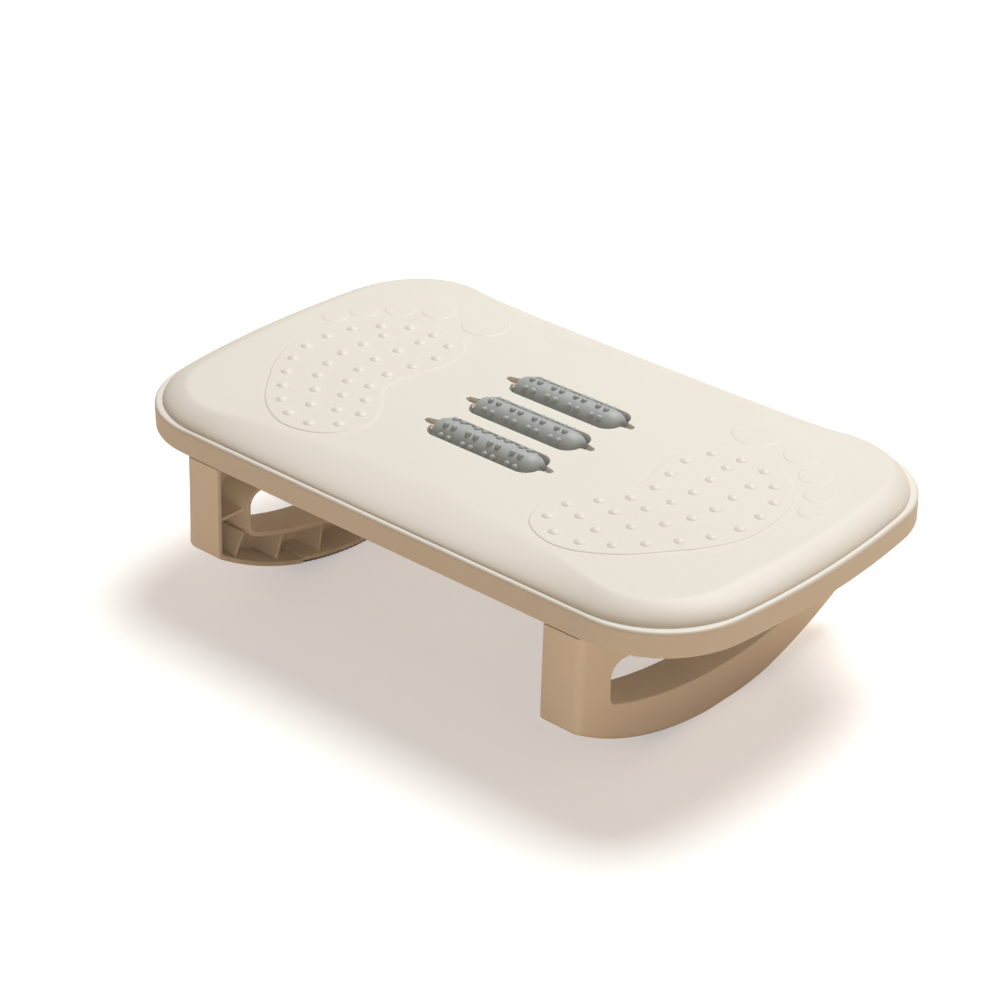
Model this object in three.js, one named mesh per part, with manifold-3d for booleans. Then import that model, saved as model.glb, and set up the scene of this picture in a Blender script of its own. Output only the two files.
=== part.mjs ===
// A tilting footrest: a moulded board on two rocker legs, with three massage rollers.
// Millimetres. +Z up, the floor at zero. +X runs along the board, -Y is the heel side.
import * as THREE from 'three';
import { mergeVertices } from 'three/addons/utils/BufferGeometryUtils.js';
import Module from 'manifold-3d';

const wasm = await Module();
wasm.setup();

// Footboard
const boardLength = 453;
const boardWidth = 260.8;
const boardCornerRadius = 62;
const boardEndRadius = 570;
const boardSideRadius = 32000;
const boardDepth = 25.1;
const boardWall = 2.8;
const panelHeight = 127.1;
const panelThickness = 3;

// The crease where the flat panel meets the sloping shoulder; its long sides bow inwards
const creaseLength = 412;
const creaseWaist = 189;
const creaseCornerRadius = 45;
const creaseSideRadius = -570;
const creaseShiftY = 4.5;

// Shoulder and the rounded rim at its foot
const shoulderDrop = 9.2;
const shoulderInset = 3.2;
const shoulderSlopeShare = 0.35;
const rimRadius = 2.1;
const skirtEdge = 0.7;
const shoulderSteps = 5;
const rimSteps = 3;
const shoulderInnerShares = [0.6, 0.9];

// Legs
const legInnerX = 129;
const legOuterX = 157;
const legLean = 2.4;
const legHeelHeight = 41.6;
const legWall = 3;
const legCornerRadius = 6;
const legEdgeRadius = 4.5;
const rockerRadius = 231;
const restFlatLength = 28;
const rockerFacetAngle = 2;
const kinkY = 40.7;
const flankRadius = 350;
const seamGap = 0.3;

// The hand hole through each leg, with its collar
const holeFrontY = -105;
const holeBackY = 109;
const holeTop = 74.1;
const holeBottom = 28.3;
const holeFloorRadius = 285;
const holeTopRadius = 9;
const holeBottomRadius = 7;
const collarWall = 3.2;

// Ribs inside the legs
const legRibThickness = 1.8;
const legRibRecess = 4;
const legRibCount = 7;
const legRibFirstAngle = -30.8;
const legRibPitchAngle = 9.6;
const legCrossRibHeight = 64.4;

// Rubber strips under the legs, between two angles of the rocker arc
const stripHeelAngle = -16;
const stripToeAngle = 10;
const stripThickness = 1.7;
const stripProud = 0.3;
const stripInset = 1.5;
const stripOuterRim = 4.5;
const stripClearance = 0.3;

// Rollers and axles
const rollerPitch = 36.45;
const rollerRowY = 3;
const rollerDrop = 4.4;
const rollerRadius = 9.7;
const rollerWall = 2.2;
const rollerHalfLength = 40.3;
const rollerEndLength = 8.5;
const rollerEndRadius = 4.2;
const rollerFacets = 16;
const capSeamGap = 0.3;
const capPlugLength = 6;
const capPlugGap = 0.3;
const nubHeight = 2;
const nubBaseRadius = 2.1;
const nubTipRadius = 1.1;
const nubRows = 8;
const nubPairs = 4;
const nubPairPitch = 17.45;
const nubPairGap = 6.22;
const nearRollerAngle = 22;
const middleRollerAngle = 38.5;
const farRollerAngle = 43.4;
const axleRadius = 2;
const axleClearance = 0.1;
const axleEndGap = 0.5;
const axleTipRadius = 1.1;
const axleTipLength = 1.2;

// Roller slots in the board and the notches for the axle ends
const slotHalfLength = 42.4;
const slotHalfWidth = 13;
const slotCornerRadius = 10;
const notchMouthHalfWidth = 3.6;
const notchTipRadius = 2.2;
const notchLength = 7.8;
const wellDepth = 19.5;
const wellWall = 2;

// Snap saddles for the axle ends: a round seat whose mouth is narrower than the axle
const saddleClearance = 0.3;
const saddleMouthHalfWidth = 1.9;

// The two foot prints, each a slightly raised sole and five toes, with domes on the sole
const printRise = 0.4;
const domeRadius = 3.85;
const domeHeight = 1.85;
const soleLength = 158;
const soleCentreX = 125;
const soleCentreY = -17;
const soleRingInset = 9.7;
const soleRingDomes = 20;
const solePairAngle = -19;
const soleInnerHeelHalf = 8.8;
const soleInnerBallHalf = 12.6;

// Sole outline, the middles of its inner pairs of domes from the heel up, and the toes' places and
// radii, as shares of the sole length from the sole centre
const soleOutlineShares = [
  [-0.351, -0.297], [-0.297, -0.430], [-0.177, -0.494], [-0.051, -0.484], [0.095, -0.394],
  [0.215, -0.253], [0.282, -0.165], [0.345, -0.032], [0.358, 0.120], [0.323, 0.285],
  [0.247, 0.386], [0.133, 0.468], [0.019, 0.491], [-0.108, 0.475], [-0.190, 0.418],
  [-0.225, 0.297], [-0.209, 0.184], [-0.180, 0.057], [-0.196, -0.044], [-0.259, -0.120],
  [-0.316, -0.196],
];
const solePairShares = [
  [-0.131, -0.301], [-0.056, -0.200], [0.017, -0.106], [0.057, -0.007], [0.075, 0.098],
  [0.066, 0.210], [0.056, 0.320],
];
const toeShares = [
  [-0.111, 0.652, 0.098], [0.117, 0.628, 0.073], [0.247, 0.532, 0.060], [0.348, 0.430, 0.054],
  [0.399, 0.316, 0.049],
];

// Stiffening ribs under the board, placed as shares of its half width and half length
const ribThickness = 2;
const ribDepth = 20;
const longRibShares = [-0.8, -0.55, 0.58, 0.8];
const crossRibShares = [0.31, 0.435, 0.82];

// Screws, and the bosses and tabs they hold, placed as shares of the board's half width
const screwRadius = 1.6;
const screwLength = 12;
const screwHeadRadius = 3.6;
const screwHeadHeight = 2.2;
const screwGap = 0.3;
const bossRadius = 4.4;
const tabReach = 16;
const tabWidth = 18;
const tabThickness = 3;
const tabScrewShares = [-0.86, -0.345, 0.345, 0.86];

const overrun = 1;

// Derived places
const boardBottom = panelHeight - boardDepth;
const legTop = boardBottom - seamGap;
const axleHeight = panelHeight - rollerDrop;
const rollerYs = [-1, 0, 1].map((k) => rollerRowY + k * rollerPitch);
const wellBottom = panelHeight - wellDepth;
const saddleRadius = axleRadius + saddleClearance;
const saddleTop = axleHeight + Math.sqrt(saddleRadius ** 2 - saddleMouthHalfWidth ** 2);
const notchTip = slotHalfLength + notchLength;
const axleHalfLength = notchTip - axleEndGap;
const rockerCentre = Math.sqrt(rockerRadius ** 2 - (restFlatLength / 2) ** 2);
const seatRadius = rockerRadius - stripThickness - stripClearance;
const longRibY = longRibShares.map((share) => share * boardWidth / 2);
const crossRibX = crossRibShares.map((share) => share * boardLength / 2);
const bearingRibX = (legInnerX + legOuterX) / 2;
const tabScrewX = legInnerX - tabReach / 2;
const tabScrewY = tabScrewShares.map((share) => share * boardWidth / 2);

// Solids and geometry

function toSolid(geometry) {
  const bare = geometry.index ? geometry.toNonIndexed() : geometry.clone();
  bare.deleteAttribute('normal');
  bare.deleteAttribute('uv');
  const merged = mergeVertices(bare);
  const corners = merged.index.array;
  const triangles = [];
  for (let i = 0; i < corners.length; i += 3) {
    const [a, b, c] = corners.slice(i, i + 3);
    if (a !== b && b !== c && c !== a) triangles.push(a, b, c);
  }
  return new wasm.Manifold(new wasm.Mesh({
    numProp: 3,
    vertProperties: new Float32Array(merged.attributes.position.array),
    triVerts: new Uint32Array(triangles),
  }));
}

function toGeometry(solid) {
  const mesh = solid.getMesh();
  const points = new Float32Array(mesh.numVert * 3);
  for (let i = 0; i < mesh.numVert; i += 1) {
    for (let k = 0; k < 3; k += 1) points[3 * i + k] = mesh.vertProperties[mesh.numProp * i + k];
  }
  const geometry = new THREE.BufferGeometry();
  geometry.setAttribute('position', new THREE.BufferAttribute(points, 3));
  geometry.setIndex(Array.from(mesh.triVerts));
  geometry.computeVertexNormals();
  return geometry;
}

function joined(solids) {
  return solids.reduce((sum, solid) => sum.add(solid));
}

// A closed body through rings of points that all have the same count, listed from the top of the
// outside, down, and back up inside
function loft(rings) {
  const count = rings[0].length;
  const positions = rings.flat().flatMap((p) => [p.x, p.y, p.z]);
  const index = [];
  for (let r = 0; r + 1 < rings.length; r += 1) {
    for (let i = 0; i < count; i += 1) {
      const j = (i + 1) % count;
      const a = r * count + i;
      const b = r * count + j;
      const c = (r + 1) * count + i;
      const d = (r + 1) * count + j;
      index.push(a, c, b, b, c, d);
    }
  }
  const cap = (ring, first, up) => {
    const faces = THREE.ShapeUtils.triangulateShape(ring.map((p) => new THREE.Vector2(p.x, p.y)), []);
    for (const [a, b, c] of faces) {
      if (up) index.push(first + a, first + b, first + c);
      else index.push(first + a, first + c, first + b);
    }
  };
  cap(rings[0], 0, true);
  cap(rings[rings.length - 1], (rings.length - 1) * count, false);
  const geometry = new THREE.BufferGeometry();
  geometry.setAttribute('position', new THREE.Float32BufferAttribute(positions, 3));
  geometry.setIndex(index);
  return geometry;
}

function block(x0, x1, y0, y1, z0, z1) {
  const geometry = new THREE.BoxGeometry(x1 - x0, y1 - y0, z1 - z0);
  return geometry.translate((x0 + x1) / 2, (y0 + y1) / 2, (z0 + z1) / 2);
}

function uprightCylinder(radius, x, y, z0, z1, sides = 16) {
  const geometry = new THREE.CylinderGeometry(radius, radius, z1 - z0, sides);
  return geometry.rotateX(Math.PI / 2).translate(x, y, (z0 + z1) / 2);
}

// An outline in plan, extruded upwards
function uprightPrism(points, z0, z1) {
  const geometry = new THREE.ExtrudeGeometry(new THREE.Shape(points), {
    depth: z1 - z0,
    bevelEnabled: false,
  });
  return geometry.translate(0, 0, z0);
}

// An outline in the Y-Z plane, extruded along +X
function sidePrism(points, x0, x1, edgeRadius = 0) {
  const geometry = new THREE.ExtrudeGeometry(new THREE.Shape(points), {
    depth: x1 - x0 - edgeRadius,
    bevelEnabled: edgeRadius > 0,
    bevelThickness: edgeRadius,
    bevelSize: edgeRadius,
    bevelOffset: -edgeRadius,
    bevelSegments: 3,
  });
  const turn = new THREE.Matrix4().makeBasis(
    new THREE.Vector3(0, 1, 0),
    new THREE.Vector3(0, 0, 1),
    new THREE.Vector3(1, 0, 0),
  );
  return geometry.applyMatrix4(turn).translate(x0, 0, 0);
}

function mirroredInX(geometry) {
  const copy = geometry.index ? geometry.toNonIndexed() : geometry.clone();
  copy.scale(-1, 1, 1);
  const position = copy.attributes.position;
  for (let i = 0; i < position.count; i += 3) {
    const a = new THREE.Vector3().fromBufferAttribute(position, i);
    const b = new THREE.Vector3().fromBufferAttribute(position, i + 1);
    position.setXYZ(i, b.x, b.y, b.z);
    position.setXYZ(i + 1, a.x, a.y, a.z);
  }
  return mergeVertices(copy);
}

// Outlines

// Points along an arc from one angle to another, ends included
function arcPoints(cx, cy, radius, from, to, steps) {
  const points = [];
  for (let i = 0; i <= steps; i += 1) {
    const angle = THREE.MathUtils.lerp(from, to, i / steps);
    points.push(new THREE.Vector2(cx + radius * Math.cos(angle), cy + radius * Math.sin(angle)));
  }
  return points;
}

// A closed outline of four end and side arcs with tangent corner arcs. A negative side radius
// bows the long sides inwards. Every outline has the same number of points.
function roundedOutline(halfLength, halfWidth, cornerRadius, endRadius, sideRadius) {
  const end = new THREE.Vector2(halfLength - endRadius, 0);
  const side = new THREE.Vector2(0, halfWidth - sideRadius);
  const toEnd = endRadius - cornerRadius;
  const toSide = sideRadius - cornerRadius;
  const span = end.distanceTo(side);
  const along = (toEnd ** 2 - toSide ** 2 + span ** 2) / (2 * span);
  const across = Math.sqrt(toEnd ** 2 - along ** 2);
  const direction = side.clone().sub(end).divideScalar(span);
  const foot = end.clone().addScaledVector(direction, along);
  const normal = new THREE.Vector2(-direction.y, direction.x).multiplyScalar(Math.sign(sideRadius));
  const corner = foot.addScaledVector(normal, across);
  const endAngle = Math.atan2(corner.y - end.y, corner.x - end.x);
  const sideAngle = sideRadius > 0
    ? Math.atan2(corner.y - side.y, corner.x - side.x)
    : Math.atan2(side.y - corner.y, side.x - corner.x);
  const quarter = [
    ...arcPoints(end.x, end.y, endRadius, 0, endAngle, 3),
    ...arcPoints(corner.x, corner.y, cornerRadius, endAngle, sideAngle, 7).slice(1),
  ];
  const sideEnd = quarter[quarter.length - 1];
  const sideSteps = 4;
  for (let i = 1; i <= sideSteps; i += 1) {
    const x = sideEnd.x * (1 - i / sideSteps);
    const rise = Math.sqrt(sideRadius ** 2 - x ** 2) * Math.sign(sideRadius);
    quarter.push(new THREE.Vector2(x, side.y + rise));
  }
  const upper = [
    ...quarter,
    ...quarter.slice(0, -1).reverse().map((p) => new THREE.Vector2(-p.x, p.y)),
  ];
  const lower = upper.slice(1, -1).reverse().map((p) => new THREE.Vector2(p.x, -p.y));
  return [...upper, ...lower];
}

function boardOutline(inset) {
  return roundedOutline(
    boardLength / 2 - inset,
    boardWidth / 2 - inset,
    boardCornerRadius - inset,
    boardEndRadius - inset,
    boardSideRadius - inset,
  );
}

function creaseOutline(inset) {
  const outline = roundedOutline(
    creaseLength / 2 - inset,
    creaseWaist / 2 - inset,
    creaseCornerRadius - inset,
    boardEndRadius - inset,
    creaseSideRadius - inset,
  );
  return outline.map((p) => new THREE.Vector2(p.x, p.y + creaseShiftY));
}

function ringAt(outline, z) {
  return outline.map((p) => new THREE.Vector3(p.x, p.y, z));
}

function between(inner, outer, share) {
  return inner.map((p, i) => p.clone().lerp(outer[i], share));
}

// Moves a counter-clockwise outline inwards by a distance, outwards when it is negative
function insetOutline(points, distance) {
  return points.map((p, i) => {
    const before = points[(i + points.length - 1) % points.length];
    const after = points[(i + 1) % points.length];
    const a = p.clone().sub(before).normalize();
    const b = after.clone().sub(p).normalize();
    const bisector = new THREE.Vector2(-a.y - b.y, a.x + b.x).normalize();
    const reach = distance / Math.max(bisector.dot(new THREE.Vector2(-a.y, a.x)), 0.5);
    return p.clone().addScaledVector(bisector, reach);
  });
}

// Footboard

// How far the shoulder has dropped at a share of the way from the crease to its foot
function shoulderFall(share) {
  const round = 1 - Math.sqrt(1 - share ** 2);
  return shoulderDrop * THREE.MathUtils.lerp(round, share, shoulderSlopeShare);
}

// Rings down the shoulder at given shares of the way, below a height
function shoulderRings(shares, top) {
  const crease = creaseOutline(0);
  const foot = boardOutline(shoulderInset);
  return shares.map((share) => ringAt(between(crease, foot, share), top - shoulderFall(share)));
}

function boardShell() {
  const rimTop = panelHeight - shoulderDrop;
  const underPanel = panelHeight - panelThickness;
  const shares = [];
  for (let i = 0; i <= shoulderSteps; i += 1) shares.push(Math.sin(Math.PI / 2 * i / shoulderSteps));
  const rim = [];
  for (let i = 0; i <= rimSteps; i += 1) {
    const turn = Math.PI / 2 * i / rimSteps;
    const inset = rimRadius * (1 - Math.sin(turn));
    rim.push(ringAt(boardOutline(inset), rimTop - rimRadius * (1 - Math.cos(turn))));
  }
  const rings = [
    ...shoulderRings(shares, panelHeight),
    ...rim,
    ringAt(boardOutline(0), boardBottom + skirtEdge),
    ringAt(boardOutline(skirtEdge), boardBottom),
    ringAt(boardOutline(boardWall), boardBottom),
    ringAt(boardOutline(boardWall), underPanel - shoulderDrop),
    ringAt(boardOutline(shoulderInset + boardWall), underPanel - shoulderDrop),
    ...shoulderRings(shoulderInnerShares, underPanel).reverse(),
    ringAt(creaseOutline(boardWall), underPanel),
  ];
  return toSolid(loft(rings));
}

// The space inside the shell's outside, down to the skirt's lower edge: what stiffens it stays in it
function boardInterior() {
  const rings = [
    ...shoulderRings([0, ...shoulderInnerShares], panelHeight - panelThickness / 2),
    ringAt(boardOutline(boardWall / 2), panelHeight - panelThickness - shoulderDrop),
    ringAt(boardOutline(boardWall / 2), boardBottom),
  ];
  return toSolid(loft(rings));
}

function slotOutline(halfLength, halfWidth, radius, centreY) {
  const cx = halfLength - radius;
  const cy = halfWidth - radius;
  const corners = [[cx, cy, 0], [-cx, cy, 1], [-cx, -cy, 2], [cx, -cy, 3]];
  return corners.flatMap(([x, y, turn]) => {
    const start = turn * Math.PI / 2;
    return arcPoints(x, centreY + y, radius, start, start + Math.PI / 2, 4);
  });
}

// A notch at each slot end, tapering outwards to a rounded tip
function notchOutline(side, centreY) {
  const tipCentre = notchTip - notchTipRadius;
  const mouth = slotHalfLength - slotCornerRadius;
  const outline = [
    new THREE.Vector2(mouth, -notchMouthHalfWidth),
    new THREE.Vector2(slotHalfLength, -notchMouthHalfWidth),
    ...arcPoints(tipCentre, 0, notchTipRadius, -Math.PI / 3, Math.PI / 3, 6),
    new THREE.Vector2(slotHalfLength, notchMouthHalfWidth),
    new THREE.Vector2(mouth, notchMouthHalfWidth),
  ];
  return outline.map((p) => new THREE.Vector2(side * p.x, centreY + side * p.y));
}

// A trough under each slot, thick at the ends where the saddles are
function wellBlocks() {
  return joined(rollerYs.map((y) => {
    const outline = slotOutline(notchTip + wellWall, slotHalfWidth + wellWall, slotCornerRadius, y);
    return toSolid(uprightPrism(outline, wellBottom, panelHeight - panelThickness / 2));
  }));
}

function slotCuts() {
  return joined(rollerYs.flatMap((y) => {
    const slot = slotOutline(slotHalfLength, slotHalfWidth, slotCornerRadius, y);
    const seat = new THREE.CylinderGeometry(saddleRadius, saddleRadius, 2 * notchTip, 24);
    return [
      toSolid(uprightPrism(slot, wellBottom + wellWall, panelHeight + overrun)),
      toSolid(uprightPrism(notchOutline(1, y), saddleTop, panelHeight + overrun)),
      toSolid(uprightPrism(notchOutline(-1, y), saddleTop, panelHeight + overrun)),
      toSolid(alongX(seat).translate(0, y, axleHeight)),
    ];
  }));
}

function boardRibs() {
  const top = panelHeight - panelThickness / 2;
  const low = panelHeight - ribDepth;
  const half = ribThickness / 2;
  const reachX = boardLength / 2;
  const reachY = boardWidth / 2;
  const ribs = longRibY.map((y) => block(-reachX, reachX, y - half, y + half, low, top));
  for (const x of crossRibX.flatMap((value) => [-value, value])) {
    ribs.push(block(x - half, x + half, -reachY, reachY, low, top));
  }
  for (const x of [-bearingRibX, bearingRibX]) {
    ribs.push(block(x - half, x + half, -reachY, reachY, boardBottom, top));
  }
  return joined(ribs.map(toSolid));
}

function legScrewPlaces(side) {
  return tabScrewY.map((y) => [side * tabScrewX, y]);
}

function screwBosses() {
  const places = [...legScrewPlaces(-1), ...legScrewPlaces(1)];
  const top = panelHeight - panelThickness / 2;
  return joined(places.map(([x, y]) => toSolid(uprightCylinder(bossRadius, x, y, boardBottom, top))));
}

function screwBores() {
  const places = [...legScrewPlaces(-1), ...legScrewPlaces(1)];
  const radius = screwRadius + screwGap;
  const low = boardBottom - overrun;
  const top = boardBottom + screwLength;
  return joined(places.map(([x, y]) => toSolid(uprightCylinder(radius, x, y, low, top, 10))));
}

// A place on the right foot from shares of the sole length
function solePlace([x, y]) {
  return new THREE.Vector3(soleCentreX + x * soleLength, soleCentreY + y * soleLength, 0);
}

function soleOutline() {
  return new THREE.CatmullRomCurve3(soleOutlineShares.map(solePlace), true, 'centripetal');
}

// The raised sole and toes of one foot, on the right for side 1 and the left for -1
function footPrint(side) {
  const sole = soleOutline().getSpacedPoints(40).slice(0, -1);
  const toes = toeShares.map(([x, y, radius]) => {
    const centre = solePlace([x, y]);
    return arcPoints(centre.x, centre.y, radius * soleLength, 0, 2 * Math.PI, 16).slice(0, -1);
  });
  return joined([sole, ...toes].map((outline) => {
    const points = outline.map((p) => new THREE.Vector2(side * p.x, p.y));
    return toSolid(uprightPrism(points, panelHeight - panelThickness / 2, panelHeight + printRise));
  }));
}

// Dome places: one ring that follows the outline, and slanted pairs along the middle of the foot
function domePlaces(side) {
  const samples = soleOutline().getSpacedPoints(120).slice(0, -1)
    .map((p) => new THREE.Vector2(p.x, p.y));
  const inner = insetOutline(samples, soleRingInset).map((p) => new THREE.Vector3(p.x, p.y, 0));
  const ring = new THREE.CatmullRomCurve3(inner, true);
  const places = [];
  for (let i = 0; i < soleRingDomes; i += 1) places.push(ring.getPointAt((i + 0.5) / soleRingDomes));
  const pairAngle = THREE.MathUtils.degToRad(solePairAngle);
  const across = new THREE.Vector3(Math.cos(pairAngle), Math.sin(pairAngle), 0);
  solePairShares.forEach((shares, i) => {
    const middle = solePlace(shares);
    const half = THREE.MathUtils.lerp(soleInnerHeelHalf, soleInnerBallHalf, i / (solePairShares.length - 1));
    places.push(middle.clone().addScaledVector(across, half));
    places.push(middle.clone().addScaledVector(across, -half));
  });
  return places.map((p) => [side * p.x, p.y]);
}

function dome(x, y) {
  const sunk = panelThickness / 2;
  const profile = [
    new THREE.Vector2(0, -sunk),
    new THREE.Vector2(domeRadius, -sunk),
    new THREE.Vector2(domeRadius, 0),
    new THREE.Vector2(domeRadius * 0.68, domeHeight * 0.72),
    new THREE.Vector2(0, domeHeight),
  ];
  const geometry = new THREE.LatheGeometry(profile, 8);
  return toSolid(geometry.rotateX(Math.PI / 2).translate(x, y, panelHeight));
}

function footboard() {
  const stiffening = joined([boardRibs(), wellBlocks(), screwBosses()]).intersect(boardInterior());
  const domes = [1, -1].flatMap((side) => domePlaces(side).map(([x, y]) => dome(x, y)));
  const solid = boardShell().add(stiffening).subtract(slotCuts()).subtract(screwBores());
  return toGeometry(joined([solid, footPrint(1), footPrint(-1), ...domes]));
}

// Legs

// Points along an arc about the rocker's centre, between two angles from straight down, with one
// longer flat facet at the bottom, which the footrest stands level on
function rockerPoints(radius, from, to) {
  const flat = Math.asin(restFlatLength / 2 / rockerRadius);
  const facet = THREE.MathUtils.degToRad(rockerFacetAngle);
  const down = -Math.PI / 2;
  return [
    ...arcPoints(0, rockerCentre, radius, down + from, down - flat, Math.round((-flat - from) / facet)),
    ...arcPoints(0, rockerCentre, radius, down + flat, down + to, Math.round((to - flat) / facet)),
  ];
}

// The side profile of a leg in Y and Z, counter-clockwise: the rocker arc up to a kink, then a flank
function legProfile(top) {
  const reach = boardWidth / 2 + legLean;
  const radius = rockerRadius - stripProud;
  const kinkAngle = Math.asin(kinkY / radius);
  const rocker = rockerPoints(radius, -Math.asin(reach / radius), kinkAngle);
  const kink = rocker[rocker.length - 1];
  const heel = new THREE.Vector2(reach, legHeelHeight);
  const chord = heel.clone().sub(kink);
  const half = chord.length() / 2;
  const lift = Math.sqrt(flankRadius ** 2 - half ** 2);
  const centre = kink.clone().add(heel).multiplyScalar(0.5)
    .addScaledVector(new THREE.Vector2(-chord.y, chord.x).normalize(), lift);
  const startAngle = Math.atan2(kink.y - centre.y, kink.x - centre.x);
  const endAngle = Math.atan2(heel.y - centre.y, heel.x - centre.x);
  return [
    new THREE.Vector2(-reach, legHeelHeight),
    ...rocker.slice(1),
    ...arcPoints(centre.x, centre.y, flankRadius, startAngle, endAngle, 8).slice(1),
    new THREE.Vector2(boardWidth / 2, top),
    new THREE.Vector2(-boardWidth / 2, top),
  ];
}

// A layer of the rocker between two depths, as long as the strip plus a margin at each end
function rockerLayer(outerRadius, innerRadius, margin) {
  const widening = margin / rockerRadius;
  const from = THREE.MathUtils.degToRad(stripHeelAngle) - widening;
  const to = THREE.MathUtils.degToRad(stripToeAngle) + widening;
  return [
    ...rockerPoints(outerRadius, from, to),
    ...rockerPoints(innerRadius, from, to).reverse(),
  ];
}

function legPlan() {
  const reach = boardWidth / 2 + legLean;
  const corner = legCornerRadius;
  return [
    new THREE.Vector2(legInnerX, -reach),
    ...arcPoints(legOuterX - corner, corner - reach, corner, -Math.PI / 2, 0, 5),
    ...arcPoints(legOuterX - corner, reach - corner, corner, 0, Math.PI / 2, 5),
    new THREE.Vector2(legInnerX, reach),
  ];
}

function legOuterSolid() {
  const tall = sidePrism(
    legProfile(legTop + legEdgeRadius + overrun),
    legInnerX - legEdgeRadius - overrun,
    legOuterX,
    legEdgeRadius,
  );
  const plan = uprightPrism(legPlan(), -overrun, legTop);
  return toSolid(tall).intersect(toSolid(plan));
}

// The hollow of a leg, open towards the middle, leaving a full wall above the seat of the strip
function legHollow() {
  const profile = insetOutline(legProfile(legTop), legWall);
  const hollow = toSolid(sidePrism(profile, legInnerX - overrun, legOuterX - legWall));
  const above = rockerLayer(rockerRadius + overrun, seatRadius - legWall, legWall);
  return hollow.subtract(toSolid(sidePrism(above, legInnerX - 2 * overrun, legOuterX)));
}

function stripSeat() {
  const outline = rockerLayer(rockerRadius + overrun, seatRadius, stripClearance);
  return toSolid(sidePrism(outline, legInnerX - overrun, legOuterX - stripOuterRim));
}

// The hand hole: a flat top, two upright ends and a floor that follows the rocker
function holeOutline() {
  const middleY = (holeFrontY + holeBackY) / 2;
  const half = (holeBackY - holeFrontY) / 2;
  const floorCentre = holeBottom + holeFloorRadius;
  const floorReach = half - holeBottomRadius;
  const innerRadius = holeFloorRadius - holeBottomRadius;
  const tilt = Math.asin(floorReach / innerRadius);
  const cornerZ = floorCentre - innerRadius * Math.cos(tilt);
  const topZ = holeTop - holeTopRadius;
  const topReach = half - holeTopRadius;
  const down = -Math.PI / 2;
  return [
    ...arcPoints(middleY, floorCentre, holeFloorRadius, down - tilt, down + tilt, 14),
    ...arcPoints(middleY + floorReach, cornerZ, holeBottomRadius, down + tilt, 0, 4).slice(1),
    ...arcPoints(middleY + topReach, topZ, holeTopRadius, 0, Math.PI / 2, 4),
    ...arcPoints(middleY - topReach, topZ, holeTopRadius, Math.PI / 2, Math.PI, 4),
    ...arcPoints(middleY - floorReach, cornerZ, holeBottomRadius, Math.PI, 3 * Math.PI / 2 - tilt, 4)
      .slice(0, -1),
  ];
}

function legRibs() {
  const half = legRibThickness / 2;
  const x0 = legInnerX + legRibRecess;
  const x1 = legOuterX - legWall / 2;
  const ribs = [];
  for (let i = 0; i < legRibCount; i += 1) {
    const angle = THREE.MathUtils.degToRad(legRibFirstAngle + i * legRibPitchAngle);
    const rib = block(x0, x1, -half, half, -rockerRadius + legWall / 2, 0);
    ribs.push(toSolid(rib.rotateX(angle).translate(0, 0, rockerCentre)));
  }
  const reach = boardWidth / 2;
  ribs.push(toSolid(block(x0, x1, -reach, reach, legCrossRibHeight - half, legCrossRibHeight + half)));
  return joined(ribs);
}

function legTabs() {
  const top = legTop;
  const low = legTop - tabThickness;
  const half = tabWidth / 2;
  return joined(tabScrewY.map((y) => {
    const tab = block(legInnerX - tabReach, legInnerX + legWall, y - half, y + half, low, top);
    const hole = uprightCylinder(screwRadius + screwGap, tabScrewX, y, low - overrun, top + overrun, 10);
    return toSolid(tab).subtract(toSolid(hole));
  }));
}

function leg() {
  const outer = legOuterSolid();
  const hole = holeOutline();
  const collar = toSolid(sidePrism(insetOutline(hole, -collarWall), legInnerX, legOuterX - legWall / 2));
  const cut = toSolid(sidePrism(hole, legInnerX - overrun, legOuterX + overrun));
  const inside = legRibs().add(collar).intersect(outer);
  const solid = outer.subtract(legHollow()).add(inside).subtract(cut).subtract(stripSeat());
  return toGeometry(solid.add(legTabs()));
}

function soleStrip() {
  const outline = rockerLayer(rockerRadius, rockerRadius - stripThickness, 0);
  const outerX = legOuterX - stripOuterRim - stripClearance;
  return sidePrism(outline, legInnerX + stripInset, outerX);
}

// Rollers and axles, each made about its own axis along X

function alongX(geometry) {
  return geometry.rotateZ(-Math.PI / 2);
}

// A nub standing on the roller at x, turned round the axis from straight up
function nub(x, angle) {
  const foot = rollerRadius * Math.cos(Math.PI / rollerFacets);
  const sunk = rollerWall / 2;
  const height = rollerRadius + nubHeight - foot + sunk;
  const geometry = new THREE.CylinderGeometry(nubTipRadius, nubBaseRadius, height, 5);
  geometry.translate(0, foot - sunk + height / 2, 0);
  return geometry.rotateX(Math.PI / 2 + angle).translate(x, 0, 0);
}

// A tube with rows of nubs in pairs; the end caps plug into its ends
function rollerSleeve() {
  const half = rollerHalfLength - rollerEndLength;
  const inner = rollerRadius - rollerWall;
  const profile = [
    new THREE.Vector2(inner, -half),
    new THREE.Vector2(rollerRadius, -half),
    new THREE.Vector2(rollerRadius, half),
    new THREE.Vector2(inner, half),
    new THREE.Vector2(inner, -half),
  ];
  const halfFacet = Math.PI / rollerFacets;
  const tube = alongX(new THREE.LatheGeometry(profile, rollerFacets).rotateY(halfFacet));
  const nubs = [];
  for (let row = 0; row < nubRows; row += 1) {
    const angle = row * 2 * Math.PI / nubRows;
    for (let pair = 0; pair < nubPairs; pair += 1) {
      const x = (pair - (nubPairs - 1) / 2) * nubPairPitch;
      nubs.push(toSolid(nub(x - nubPairGap / 2, angle)), toSolid(nub(x + nubPairGap / 2, angle)));
    }
  }
  return toGeometry(joined([toSolid(tube), ...nubs]));
}

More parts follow.
